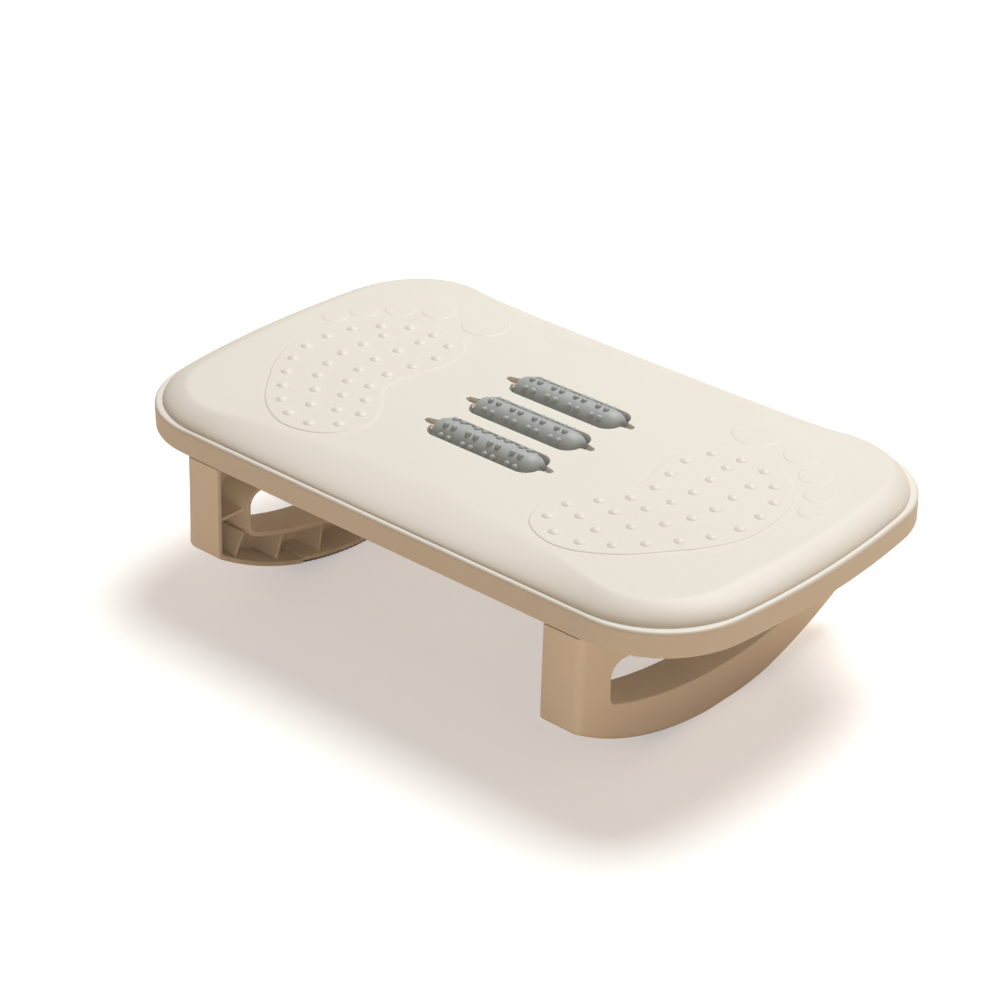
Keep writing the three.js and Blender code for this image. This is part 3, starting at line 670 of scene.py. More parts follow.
def raised_loops():
    """The outlines of both soles and all toes, each with the height it is raised by."""
    right = [(sole_line, SOLE_RISE)]
    right += [(circle(centre, radius, TOE_STEPS), TOE_RISE) for centre, radius in TOES]
    return right + [([Vector((-p.x, p.y)) for p in reversed(loop)], rise) for loop, rise in right]


def raised_edge(shape, loop, rise):
    """The soft step up to a raised shape, with a guard ring on both sides."""
    steps = [(-RAISED_EDGE / 2 - GUARD, 0.0)]
    steps += [(RAISED_EDGE * (share - 0.5), lift) for share, lift in RAISED_PROFILE]
    steps += [(RAISED_EDGE / 2 + GUARD, 1.0)]
    return shape.band([level(offset_loop(loop, inset), PANEL + rise * lift) for inset, lift in steps])


print("raised shapes:", len(raised_loops()))

# %% The shoulder and the rounded edges
def shoulder_drop(share):
    """How far the shoulder has dropped at a share of the way from the crease to its foot."""
    fall = 1.0 - math.sqrt(max(0.0, 1.0 - share**2))
    half = SHOULDER_SOFT_SHARE / 2
    slope = share**2 / (4 * half) if share < 2 * half else share - half
    straight = SHOULDER_SLOPE_SHARE * slope / (1 - half)
    return SHOULDER_DROP * (straight + (1 - SHOULDER_SLOPE_SHARE) * fall)


def shoulder_rings(inner, outer, z, steps):
    """Rings down the shoulder, closer together near its foot, where it is steep."""
    shares = [math.sin(math.pi / 2 * i / steps) for i in range(steps + 1)]
    return [level(between(inner, outer, share), z - shoulder_drop(share)) for share in shares]


def edge_round(z, radius, start, end, steps):
    """Rings round an edge of the board: angles run from the top of the round outwards and down."""
    rings = []
    for i in range(steps + 1):
        t = start + (end - start) * i / steps
        rings.append(level(board_outline(radius * (1 - math.sin(t))), z + radius * math.cos(t)))
    return rings


print("the shoulder drops by", round(shoulder_drop(1.0), 2))

# %% The board's mesh
OUTER_SHOULDER_STEPS = 26
INNER_SHOULDER_STEPS = 12
RIM_STEPS = 10
LOWER_EDGE_STEPS = 5
SKIRT_GUARD = 1.0
INNER_EDGE = 0.3


def board_mesh():
    """The rings run from the flat panel over the shoulder, down the skirt and back up inside it."""
    shape = Gathering()
    underside = PANEL - PANEL_THICKNESS
    rim = PANEL - SHOULDER_DROP - RIM_RADIUS
    lower = BOARD_BOTTOM + LOWER_EDGE_RADIUS
    foot, inner_foot = foot_outline(SHOULDER_INSET), foot_outline(SHOULDER_INSET + WALL)
    rings = [level(crease_outline(2 * GUARD), PANEL), level(crease_outline(GUARD), PANEL)]
    rings += shoulder_rings(crease_outline(0.0), foot, PANEL, OUTER_SHOULDER_STEPS)
    rings += edge_round(rim, RIM_RADIUS, 0.0, math.pi / 2, RIM_STEPS)
    rings += [level(board_outline(0.0), z) for z in (rim - SKIRT_GUARD, lower + SKIRT_GUARD)]
    rings += edge_round(lower, LOWER_EDGE_RADIUS, math.pi / 2, math.pi, LOWER_EDGE_STEPS)
    rings += [level(board_outline(WALL - INNER_EDGE), BOARD_BOTTOM)]
    rings += [level(board_outline(WALL), z) for z in (BOARD_BOTTOM + INNER_EDGE, underside - SHOULDER_DROP)]
    rings += shoulder_rings(crease_outline(WALL), inner_foot, underside, INNER_SHOULDER_STEPS)[::-1]
    top_edge, under_edge = shape.band(rings)

    slots = [slot_walls(shape, y) for y in ROLLER_Y.values()]
    raised = [raised_edge(shape, loop, rise) for loop, rise in raised_loops()]
    shape.sheet(top_edge, [(upper, None) for upper, _ in slots] + raised)
    shape.sheet(under_edge, [(lowest, None) for _, lowest in slots])
    return shape.mesh("board")


add_piece("board", board_mesh(), cream_plastic, "frame", ["footboard"])

# %% [markdown]
# ## Domes
# The domes repeat 68 times. One low cap is turned from a short profile, and a Geometry Nodes
# tree puts a copy at each place. The copies are made real, so that the piece is plain mesh.

# %% Turn a profile about an upright axis
def turned_rings(profile, steps, centre=(0.0, 0.0)):
    """A level ring of points for each radius and height of a profile."""
    x, y = centre
    angles = [2 * math.pi * k / steps for k in range(steps)]
    return [[(x + r * math.cos(t), y + r * math.sin(t), z) for t in angles] for r, z in profile]


def turned_mesh(profile, steps):
    """A solid turned about +Z. Its profile runs from axis to axis, or else closes on itself."""
    shape = Gathering()
    shape.band(turned_rings(profile, steps))
    return shape.mesh("turned")


# %% Copy one shape to many places
def finished_mesh(target, helpers):
    """The plain mesh that the target's modifiers make. The target and its helpers are removed."""
    depsgraph = bpy.context.evaluated_depsgraph_get()
    data = bpy.data.meshes.new_from_object(target.evaluated_get(depsgraph))
    for o in (target, *helpers):
        bpy.data.objects.remove(o)
    return data


def copies(name, pattern_mesh, places, material):
    """A mesh with the pattern copied to each place, a Matrix in millimetres, by Geometry Nodes."""
    pattern = add_object(name + "_pattern", pattern_mesh)
    spots = bpy.data.meshes.new(name + "_spots")
    spots.from_pydata([m.to_translation() * MM for m in places], [], [])
    turn = spots.attributes.new("turn", "FLOAT_VECTOR", "POINT")
    turn.data.foreach_set("vector", [angle for m in places for angle in m.to_euler()])
    carrier = add_object(name, spots)

    tree = bpy.data.node_groups.new(name + "_copies", "GeometryNodeTree")
    tree.interface.new_socket("Geometry", in_out="INPUT", socket_type="NodeSocketGeometry")
    wanted = tree.interface.new_socket("Pattern", in_out="INPUT", socket_type="NodeSocketObject")
    size = tree.interface.new_socket("Size", in_out="INPUT", socket_type="NodeSocketFloat")
    tree.interface.new_socket("Geometry", in_out="OUTPUT", socket_type="NodeSocketGeometry")
    given, result = add_node(tree, "NodeGroupInput"), add_node(tree, "NodeGroupOutput")
    info = add_node(tree, "GeometryNodeObjectInfo")
    turned = add_node(tree, "GeometryNodeInputNamedAttribute", {"Name": "turn"}, "FLOAT_VECTOR")
    as_rotation = add_node(tree, "FunctionNodeEulerToRotation")
    instance = add_node(tree, "GeometryNodeInstanceOnPoints")
    real = add_node(tree, "GeometryNodeRealizeInstances")
    finish = add_node(tree, "GeometryNodeSetMaterial", {"Material": material})
    link_nodes(
        tree,
        (given, "Pattern", info, "Object"),
        (given, "Geometry", instance, "Points"),
        (info, "Geometry", instance, "Instance"),
        (turned, "Attribute", as_rotation, "Euler"),
        (as_rotation, "Rotation", instance, "Rotation"),
        (given, "Size", instance, "Scale"),
        (instance, "Instances", real, "Geometry"),
        (real, "Geometry", finish, "Geometry"),
        (finish, "Geometry", result, "Geometry"),
    )

    modifier = carrier.modifiers.new("copies", "NODES")
    modifier.node_group = tree
    modifier[wanted.identifier] = pattern
    modifier[size.identifier] = 1.0
    return finished_mesh(carrier, [pattern])


# %% The massage domes
ROOT = 1.0
DOME_RADIUS = 4.2
DOME_STEPS = 24
# Shares of the dome's radius and of its height.
DOME_CURVE = [(0.94, 0.25), (0.79, 0.45), (0.59, 0.68), (0.39, 0.85), (0.19, 0.96), (0.0, 1.0)]
DOME_PROFILE = [(0.0, -ROOT), (DOME_RADIUS * 0.98, -ROOT), (DOME_RADIUS, 0.1)]
DOME_PROFILE += [(DOME_RADIUS * across, DOME_HEIGHT * up) for across, up in DOME_CURVE]

dome_spots = [Matrix.Translation((side * p.x, p.y, PANEL)) for side in (1, -1) for p in dome_places()]
dome_pattern = turned_mesh(DOME_PROFILE, DOME_STEPS)
dome_data = copies("massage_domes", dome_pattern, dome_spots, cream_plastic)
add_piece("massage_domes", dome_data, cream_plastic, "frame")

# %% [markdown]
# ## Rollers
# Each roller is a grey tube with eight rows of nubs in pairs, closed by two domed ends that run
# on the axle. The tube and the ends are turned shapes. The nubs are copied onto the tube row by
# row, and the whole roller is turned to the angle at which it rests in the photograph.

# %% Nubs
NUB_STEPS = 16
NUB_SINK = 0.05
NUB_ANGLES = [math.radians(degrees) for degrees in (0, 22, 45, 68, 90)]
NUB_PROFILE = [(0.0, -ROOT), (NUB_BASE_RADIUS, -ROOT)]
NUB_PROFILE += [(NUB_BASE_RADIUS * math.cos(t), NUB_HEIGHT * math.sin(t)) for t in NUB_ANGLES]


def nub_places(y, rest_angle):
    """One matrix for each nub: rows round the roller, pairs along it."""
    out = Matrix.Translation((0.0, 0.0, ROLLER_RADIUS - NUB_SINK))
    places = []
    for row in range(NUB_ROWS):
        turn = Matrix.Rotation(-rest_angle + row * 2 * math.pi / NUB_ROWS, 4, "X")
        for pair in range(NUB_PAIRS):
            for side in (-0.5, 0.5):
                x = (pair - (NUB_PAIRS - 1) / 2) * NUB_PAIR_PITCH + side * NUB_PAIR_GAP
                places.append(Matrix.Translation((x, y, AXLE_HEIGHT)) @ turn @ out)
    return places


print("nubs on a roller:", len(nub_places(0.0, 0.0)))

# %% Tubes and domed ends
TURNED_STEPS = 96
TUBE_HALF = ROLLER_HALF_LENGTH - ROLLER_END_LENGTH
TUBE_EDGE = 0.03
TUBE_EDGE_STEPS = 4
TUBE_HALF_PARTS = 4
CAP_SEAM = 0.02
PLUG_LENGTH = 6.0
PLUG_CLEARANCE = 0.3
BORE_CLEARANCE = 0.1
CAP_EDGE = 0.3
CAP_STEPS = 14


def tube_mesh():
    """An open tube with finely rounded ends. Rings along it keep its faces from growing long."""
    inner, parts = ROLLER_RADIUS - ROLLER_WALL, TUBE_HALF_PARTS
    side, end = ROLLER_RADIUS - TUBE_EDGE, TUBE_HALF - TUBE_EDGE
    profile = [(inner, -TUBE_HALF), *arc(side, -end, TUBE_EDGE, -math.pi / 2, 0.0, TUBE_EDGE_STEPS)]
    profile += [(ROLLER_RADIUS, z * TUBE_HALF / parts) for z in range(1 - parts, parts)]
    profile += arc(side, end, TUBE_EDGE, 0.0, math.pi / 2, TUBE_EDGE_STEPS)
    profile += [(inner, TUBE_HALF), profile[0]]
    return turned_mesh(profile, TURNED_STEPS)


def cap_mesh(side):
    """A domed end: a plug inside the tube and a dome that narrows towards the axle."""
    start, bore = TUBE_HALF + CAP_SEAM, AXLE_RADIUS + BORE_CLEARANCE
    plug = ROLLER_RADIUS - ROLLER_WALL - PLUG_CLEARANCE
    length = ROLLER_HALF_LENGTH - start
    profile = [(bore, start - PLUG_LENGTH), (plug, start - PLUG_LENGTH), (plug, start)]
    for i in range(CAP_STEPS + 1):
        share = math.sin(math.pi / 2 * i / CAP_STEPS)
        radius = ROLLER_END_RADIUS + (ROLLER_RADIUS - ROLLER_END_RADIUS) * math.sqrt(1 - share**2)
        profile.append((radius, start + length * share))
    profile += [(bore + CAP_EDGE, ROLLER_HALF_LENGTH), (bore, ROLLER_HALF_LENGTH - CAP_EDGE), profile[0]]
    return turned_mesh([(r, side * z) for r, z in profile], TURNED_STEPS)


print("a tube is", round(2 * TUBE_HALF, 1), "long and", 2 * ROLLER_RADIUS, "across")

# %% Axle pins
AXLE_STEPS = 48
# Radius and distance from the end.
AXLE_TIP = [(0.0, 0.0), (0.9, 0.0), (1.35, 0.25), (1.85, 0.9), (AXLE_RADIUS, 1.3)]


def axle_mesh():
    """A pin with rounded tips, from one notch to the other."""
    half = NOTCH_TIP - AXLE_END_GAP
    profile = [(r, -half + from_end) for r, from_end in AXLE_TIP] + [(AXLE_RADIUS, 0.0)]
    profile += [(r, -z) for r, z in profile[-2::-1]]
    return turned_mesh(profile, AXLE_STEPS)


print("an axle pin is", round(2 * (NOTCH_TIP - AXLE_END_GAP), 1), "long")

# %% The three rollers
def lying(data, y, angle=0.0):
    """Turns a shape made about +Z so that it lies along +X at a roller's place."""
    turn = Matrix.Rotation(angle, 4, "X") @ Matrix.Rotation(math.pi / 2, 4, "Y")
    data.transform(Matrix.Translation((0.0, y * MM, AXLE_HEIGHT * MM)) @ turn)
    return data


def joined_mesh(name, parts):
    """One mesh of several."""
    work = bmesh.new()
    for part in parts:
        work.from_mesh(part)
    data = bpy.data.meshes.new(name)
    work.to_mesh(data)
    work.free()
    return data


for name, y in ROLLER_Y.items():
    body, rest_angle = name + "_roller", math.radians(REST_ANGLES[name])
    nub = turned_mesh(NUB_PROFILE, NUB_STEPS)
    nubs = copies(name + "_nubs", nub, nub_places(y, rest_angle), roller_plastic)
    tube = joined_mesh(body, [lying(tube_mesh(), y, -rest_angle), nubs])
    add_piece(body + "_tube", tube, roller_plastic, body, [body])
    for side, word in SIDES:
        cap = lying(cap_mesh(side), y, -rest_angle)
        add_piece(f"{name}_{word}_end", cap, roller_plastic, body, [f"{body}_{word}_cap"])
    pin = lying(axle_mesh(), y)
    # The pins wear the darker copy of the cream plastic: painted shade.
    add_piece(name + "_axle_pin", pin, axle_plastic, "frame", [name + "_axle"])

# %% [markdown]
# ## Wells and saddles
# Under the panel each slot is a closed trough with thick ends, where a round seat with a narrow
# mouth holds the axle. The troughs are cut from blocks with Boolean modifiers, because the seats
# cross the slots.

# %% Cut blocks with modifiers
BOX_CORNER_STEPS = 10
NOTCH_OVERLAP = 8.0


def prism_object(name, loops, low, high):
    """One object with a prism for each loop."""
    shape = Gathering()
    for loop in loops:
        bottom, top = shape.band([level(loop, low), level(loop, high)])
        shape.sheet(bottom)
        shape.sheet(top)
    return add_object(name, shape.mesh(name))


def cut(target, cutters):
    """The target's mesh with the cutters taken away. All of these objects are removed."""
    for cutter in cutters:
        modifier = target.modifiers.new("cut", "BOOLEAN")
        modifier.operation = "DIFFERENCE"
        modifier.solver = "EXACT"
        modifier.object = cutter
    return finished_mesh(target, cutters)


def rounded_box(half_length, half_width, y):
    """A box in plan, round a slot's middle, with the slot's corner radius."""
    radius, quarter = SLOT_CORNER_RADIUS, math.pi / 2
    x0, y0 = half_length - radius, half_width - radius
    corners = ((x0, y0, 0), (-x0, y0, 1), (-x0, -y0, 2), (x0, -y0, 3))
    return [
        p + Vector((0.0, y)) for cx, cy, turn in corners
        for p in arc(cx, cy, radius, turn * quarter, (turn + 1) * quarter, BOX_CORNER_STEPS)
    ]


def notch_outline(side, y):
    """The notch at one end of a slot, and some way into the slot."""
    start, half = SLOT_HALF_LENGTH - NOTCH_OVERLAP, NOTCH_MOUTH_HALF_WIDTH
    whole = slot_outline(0.0)
    outline = [Vector((start, -half)), whole[-1], *whole[:SLOT_STEPS + 2], Vector((start, half))]
    return [p * side + Vector((0.0, y)) for p in outline]


# %% The wells
WELL_OVERLAP = 0.05
CUT_ABOVE = 1.0

rows = list(ROLLER_Y.values())
well_boxes = [rounded_box(NOTCH_TIP + WELL_WALL, SLOT_HALF_WIDTH + WELL_WALL, y) for y in rows]
slot_boxes = [rounded_box(SLOT_HALF_LENGTH, SLOT_HALF_WIDTH, y) for y in rows]
notch_loops = [notch_outline(side, y) for y in rows for side in (1, -1)]
seat_ends = [(0.0, NOTCH_TIP), (SADDLE_RADIUS, NOTCH_TIP)]
seat_profile = [(r, -z) for r, z in seat_ends] + seat_ends[::-1]
seat_meshes = [lying(turned_mesh(seat_profile, AXLE_STEPS), y) for y in rows]

blocks = prism_object("wells", well_boxes, WELL_BOTTOM, PANEL - PANEL_THICKNESS + WELL_OVERLAP)
slots = prism_object("slots", slot_boxes, WELL_BOTTOM + WELL_WALL, PANEL + CUT_ABOVE)
notches = prism_object("notches", notch_loops, SADDLE_TOP, PANEL + CUT_ABOVE)
seats = add_object("seats", joined_mesh("seats", seat_meshes))
wells = cut(blocks, [slots, notches, seats])
add_piece("roller_wells", wells, cream_plastic, "frame")

# %% [markdown]
# ## Ribs and bosses under the board
# Thin ribs stiffen the panel from below, and a boss takes each leg screw. A rib's top edge runs
# in the middle of the board's wall, so its height is worked out at each step along it.

# %% Sizes of the ribs and bosses
RIB_THICKNESS = 2.0
RIB_DEPTH = 20.0
RIB_LEAST_HEIGHT = 1.0
RIB_STEPS = 360
LONG_RIB_Y = [share * HALF_WIDTH for share in (-0.8, -0.55, 0.58, 0.8)]
CROSS_RIB_X = [share * HALF_LENGTH for share in (0.31, 0.435, 0.82)]
BEARING_RIB_X = (LEG_INNER + LEG_OUTER) / 2
BOSS_RADIUS = 4.4
BOSS_TOP = PANEL - 4.0
BOSS_STEPS = 32
SCREW_BORE = 1.9
print("bosses from", round(BOARD_BOTTOM, 1), "to", round(BOSS_TOP, 1))

# %% A rib under the board
def distance_to(loop, places):
    """Distance from each place to the nearest point of a closed loop."""
    a = as_array(loop)
    b = np.roll(a, -1, axis=0)
    run = b - a
    share = ((places[:, None] - a) * run).sum(-1) / (run**2).sum(-1)
    nearest = a + run * np.clip(share, 0.0, 1.0)[..., None]
    return np.linalg.norm(places[:, None] - nearest, axis=-1).min(axis=1)


def shell_middle(places):
    """Height of the middle of the board's wall above each place."""
    crease, foot = crease_outline(0.0), foot_outline(SHOULDER_INSET)
    to_crease, to_foot = distance_to(crease, places), distance_to(foot, places)
    flat, curved = is_inside(places, as_array(crease)), is_inside(places, as_array(foot))
    share = np.where(flat, 0.0, np.where(curved, to_crease / (to_crease + to_foot), 1.0))
    return np.array([PANEL - PANEL_THICKNESS / 2 - shoulder_drop(s) for s in share])


def add_rib(shape, start, end, low):
    """A rib between two points of the plan. It ends in the middle of the skirt's wall."""
    start, end = Vector(start), Vector(end)
    places = np.array([tuple(start.lerp(end, i / RIB_STEPS)) for i in range(RIB_STEPS + 1)])
    places = places[is_inside(places, as_array(board_outline(WALL / 2)))]
    heights = np.maximum(shell_middle(places), low + RIB_LEAST_HEIGHT)
    side = (end - start).normalized().orthogonal() * RIB_THICKNESS / 2
    sections = []
    for (x, y), top in zip(places, heights):
        a, b = (x - side.x, y - side.y), (x + side.x, y + side.y)
        sections.append([(*a, low), (*b, low), (*b, top), (*a, top)])
    first, last = shape.band(sections)
    shape.faces += [tuple(first), tuple(last)]


# %% All ribs and bosses
rib_shape = Gathering()
for y in LONG_RIB_Y:
    add_rib(rib_shape, (-HALF_LENGTH, y), (HALF_LENGTH, y), PANEL - RIB_DEPTH)
for x in (*CROSS_RIB_X, BEARING_RIB_X):
    for side in (-1, 1):
        low = BOARD_BOTTOM if x == BEARING_RIB_X else PANEL - RIB_DEPTH
        add_rib(rib_shape, (side * x, -HALF_WIDTH), (side * x, HALF_WIDTH), low)
boss_profile = [(SCREW_BORE, BOARD_BOTTOM), (BOSS_RADIUS, BOARD_BOTTOM), (BOSS_RADIUS, BOSS_TOP)]
boss_profile += [(SCREW_BORE, BOSS_TOP), boss_profile[0]]
for x in (-SCREW_X, SCREW_X):
    for y in SCREW_Y:
        rib_shape.band(turned_rings(boss_profile, BOSS_STEPS, (x, y)))
add_piece("board_ribs", rib_shape.mesh("ribs"), cream_plastic, "frame")

# %% [markdown]
# ## Legs
# A leg is a thin shell, open towards the middle of the footrest, with a collar round its hand
# hole and ribs that fan out from the rocker's centre. It is built from one closed loop in the
# Y-Z plane. The loop's outer edge is rounded more along its upright ends than along its foot,
# so each point of the loop carries its own edge radius.

# %% Lines of the leg's side
CORNER_ROOM = 4.9
LOWER_CORNER_STEPS = 6
FLANK_STEPS = 44


def rocker_place(radius, angle):
    """A point of the rocker in Y and Z. It has a short flat at the bottom, which it stands on."""
    level_angle = max(abs(angle), REST_FLAT_ANGLE)
    return Vector((radius * math.sin(angle), ROCKER_CENTRE - radius * math.cos(level_angle)))


def lower_corner(before, at, after):
    """A tangent arc at a lower corner of the leg's side."""
    a, b = (before - at).normalized(), (after - at).normalized()
    half, radius = a.angle(b) / 2, LEG_LOWER_CORNER_RADIUS
    centre = at + (a + b).normalized() * radius / math.sin(half)
    first, last = (at + side * radius / math.tan(half) - centre for side in (a, b))
    start = math.atan2(first.y, first.x)
    return arc(centre.x, centre.y, radius, start, start + first.angle(last), LOWER_CORNER_STEPS)


def flank(kink, corner):
    """The bowed line from the end of the rocker to just before the lower corner on the toe side."""
    chord = corner - kink
    lift = math.sqrt(FLANK_RADIUS**2 - (chord.length / 2) ** 2)
    centre = kink + chord / 2 + Vector((-chord.y, chord.x)).normalized() * lift
    first = math.atan2(*(kink - centre).yx)
    last = math.atan2(*(corner - centre).yx) - CORNER_ROOM / FLANK_RADIUS
    return arc(centre.x, centre.y, FLANK_RADIUS, first, last, FLANK_STEPS)[1:]


print("the leg stands on a flat", 2 * REST_FLAT_HALF, "long")

# %% The leg's side loop
FOOT_STEPS = 96
UPRIGHT_STEPS = 24
BLEND_STEPS = 6
TOP_STEPS = 40
# How far the ends of the strip's recess lie beyond the strip, at its floor and at its mouth.
RECESS_FLOOR_END = 0.0012
RECESS_END = 0.0016


class SideLoop:
    """The closed side outline of a leg, with an edge radius and a strip mark at each point."""

    def __init__(self):
        self.points, self.radii, self.strip = [], [], []
        reach = HALF_WIDTH + LEG_LEAN
        radius = ROCKER_RADIUS - STRIP_PROUD
        start = -math.asin(reach / radius) + CORNER_ROOM / radius
        kink = math.asin(KINK_Y / radius)
        recess_start, recess_end = STRIP_HEEL_ANGLE - RECESS_END, STRIP_TOE_ANGLE + RECESS_END
        angles = [start + (kink - start) * i / FOOT_STEPS for i in range(FOOT_STEPS + 1)]
        angles += [STRIP_HEEL_ANGLE - RECESS_FLOOR_END, STRIP_TOE_ANGLE + RECESS_FLOOR_END]
        angles = sorted([*angles, recess_start, recess_end])
        foot = [rocker_place(radius, t) for t in angles]
        top, lower = Vector((HALF_WIDTH, LEG_TOP)), Vector((reach, LEG_LOWER_CORNER_HEIGHT))
        heel_top, heel_lower = Vector((-top.x, top.y)), Vector((-lower.x, lower.y))
        toe_side = flank(foot[-1], lower)
        self.add(lower_corner(heel_top, heel_lower, foot[0]), LEG_EDGE_RADIUS)
        for t, p in zip(angles, foot):
            self.add([p], LEG_EDGE_RADIUS, recess_start < t < recess_end)
        self.add(toe_side + lower_corner(toe_side[-1], lower, top), LEG_EDGE_RADIUS)
        upright = [lower.lerp(top, (i + 1) / (UPRIGHT_STEPS + 1)) for i in range(1, UPRIGHT_STEPS + 1)]
        for i, p in enumerate(upright, 1):
            self.add([p], self.upright_radius(i))
        self.upright_end = len(self.points)
        shares = [1 - 2 * i / TOP_STEPS for i in range(1, TOP_STEPS)]
        self.add([Vector((HALF_WIDTH * share, LEG_TOP)) for share in shares], 0.0)
        self.upright_start = len(self.points)
        for i, p in reversed(list(enumerate(upright, 1))):
            self.add([Vector((-p.x, p.y))], self.upright_radius(i))

    def upright_radius(self, step):
        """The edge radius grows from the foot's to the upright's over the first steps."""
        share = min(step / BLEND_STEPS, 1.0)
        return LEG_EDGE_RADIUS + (LEG_CORNER_RADIUS - LEG_EDGE_RADIUS) * share**2 * (3 - 2 * share)

    def add(self, points, radius, strip=False):
        self.points += points
        self.radii += [radius] * len(points)
        self.strip += [strip] * len(points)

    def inset(self, distances):
        """The loop moved inwards by a distance of its own at each point; the top stays level."""
        points = self.points
        moved = [p + inward(points, i)[0] * distances[i] for i, p in enumerate(points)]
        low, high = self.upright_end - 1, self.upright_start
        moved[low] = Vector((points[low].x - distances[low], LEG_TOP - distances[low + 1]))
        moved[high] = Vector((points[high].x + distances[high], LEG_TOP - distances[high - 1]))
        for i in range(low + 1, high):
            moved[i] = moved[low].lerp(moved[high], (i - low) / (high - low))
        return moved


side_loop = SideLoop()
print("points on the leg's loop:", len(side_loop.points))

# %% The hand hole
HOLE_MIDDLE = (HOLE_FRONT + HOLE_BACK) / 2
HOLE_FLOOR_CENTRE = HOLE_BOTTOM + HOLE_FLOOR_RADIUS
HOLE_FLOOR_STEPS = 60
HOLE_CORNER_STEPS = 10


def hole_outline():
    """The hand hole in Y and Z: a curved floor, two lower and two upper corners."""
    half, steps = (HOLE_BACK - HOLE_FRONT) / 2, HOLE_CORNER_STEPS
    reach, inner = half - HOLE_BOTTOM_RADIUS, HOLE_FLOOR_RADIUS - HOLE_BOTTOM_RADIUS
    tilt = math.asin(reach / inner)
    corner = HOLE_FLOOR_CENTRE - inner * math.cos(tilt)
    top, top_reach, down = HOLE_TOP - HOLE_TOP_RADIUS, half - HOLE_TOP_RADIUS, -math.pi / 2
    loop = arc(
        HOLE_MIDDLE, HOLE_FLOOR_CENTRE, HOLE_FLOOR_RADIUS, down - tilt, down + tilt, HOLE_FLOOR_STEPS
    )
    loop += arc(HOLE_MIDDLE + reach, corner, HOLE_BOTTOM_RADIUS, down + tilt, 0.0, steps)[1:]
    loop += arc(HOLE_MIDDLE + top_reach, top, HOLE_TOP_RADIUS, 0.0, math.pi / 2, steps)
    loop += arc(HOLE_MIDDLE - top_reach, top, HOLE_TOP_RADIUS, math.pi / 2, math.pi, steps)
    loop += arc(HOLE_MIDDLE - reach, corner, HOLE_BOTTOM_RADIUS, math.pi, 1.5 * math.pi - tilt, steps)[:-1]
    return loop


hole = hole_outline()
print("points on the hand hole:", len(hole))

# %% The leg's shell
FACE_STEPS = 8
WALL_EDGE = 0.5
# How far in from a face of the wall, and how far from its open end, in shares of WALL_EDGE.
WALL_END = [(0.0, 1.0), (0.3, 0.3), (1.0, 0.0)]


def at_x(points, x):
    """Points of the Y-Z plane at one x, or at an x of their own."""
    xs = x if isinstance(x, list) else [x] * len(points)
    return [(v, p.x, p.y) for p, v in zip(points, xs)]


def wall_end(moved, outside, inside):
    """Rings over the open end of a wall. The function gives a face's loop, moved by a distance."""
    rings = []
    for inwards, above in WALL_END:
        rings.append(at_x(moved(outside, WALL_EDGE * inwards), LEG_INNER + WALL_EDGE * above))
    for inwards, above in reversed(WALL_END):
        rings.append(at_x(moved(inside, -WALL_EDGE * inwards), LEG_INNER + WALL_EDGE * above))
    return rings


def leg_walls(shape):
    """The outer shell, from the outer face round the foot to the inside of the hollow."""
    loop, rings = side_loop, []
    for i in range(FACE_STEPS + 1):
        t = math.pi / 2 * (1 - i / FACE_STEPS)
        inset = loop.inset([r * (1 - math.cos(t)) for r in loop.radii])
        rings.append(at_x(inset, [LEG_OUTER - r * (1 - math.sin(t)) for r in loop.radii]))
    rim_x = [min(LEG_OUTER - r, LEG_OUTER - STRIP_OUTER_RIM) for r in loop.radii]
    recess = [STRIP_THICKNESS if mark else 0.0 for mark in loop.strip]
    inner = [LEG_WALL + r for r in recess]
    rings += [at_x(loop.inset(depth), rim_x) for depth in ([0.0] * len(recess), recess)]
    rings += wall_end(lambda depth, more: loop.inset([d + more for d in depth]), recess, inner)
    rings.append(at_x(loop.inset(inner), LEG_OUTER - LEG_WALL))
    return shape.band(rings)


# %% The collar round the hand hole
HOLE_EDGE = 1.0
HOLE_EDGE_STEPS = 5


def leg_collar(shape):
    """The collar round the hand hole, from the hollow's floor over its rim to the outer face."""
    rings = [at_x(offset_loop(hole, -COLLAR_WALL), LEG_OUTER - LEG_WALL)]
    rings += wall_end(lambda distance, more: offset_loop(hole, distance + more), -COLLAR_WALL, 0.0)
    for i in range(HOLE_EDGE_STEPS + 1):
        t = math.pi / 2 * i / HOLE_EDGE_STEPS
        rounded = offset_loop(hole, -HOLE_EDGE * (1 - math.cos(t)))
        rings.append(at_x(rounded, LEG_OUTER - HOLE_EDGE * (1 - math.sin(t))))
    rings.append(at_x(offset_loop(hole, -HOLE_EDGE - GUARD), LEG_OUTER))
    return shape.band(rings)


# %% Ribs and screw tabs of a leg
RIB_INTO_FOOT = 1.0
RIB_INTO_FACE = 0.3
CROSS_RIB_GAP = 1.2
TAB_CORNER_RADIUS = 3.0
TAB_CORNER_STEPS = 8
TAB_HOLE_STEPS = 24


def leg_rib(shape, angle):
    """A rib along a radius of the rocker, from the collar to the foot."""
    along = Vector((math.sin(angle), -math.cos(angle)))
    side = Vector((math.cos(angle), math.sin(angle))) * LEG_RIB_THICKNESS / 2
    centre = Vector((0.0, ROCKER_CENTRE))
    radius = HOLE_FLOOR_RADIUS + COLLAR_WALL / 2
    shift = centre - Vector((HOLE_MIDDLE, HOLE_FLOOR_CENTRE))
    half = shift.dot(along)
    start = -half + math.sqrt(half**2 - shift.length_squared + radius**2)
    end = ROCKER_RADIUS - LEG_WALL - STRIP_THICKNESS + RIB_INTO_FOOT
    near, far = centre + along * start, centre + along * end
    corners = [near - side, near + side, far + side, far - side]
    x0, x1 = LEG_INNER + LEG_RIB_RECESS, LEG_OUTER - LEG_WALL / 2
    first, last = shape.band([at_x(corners, x0), at_x(corners, x1)])
    shape.faces += [tuple(first), tuple(last)]


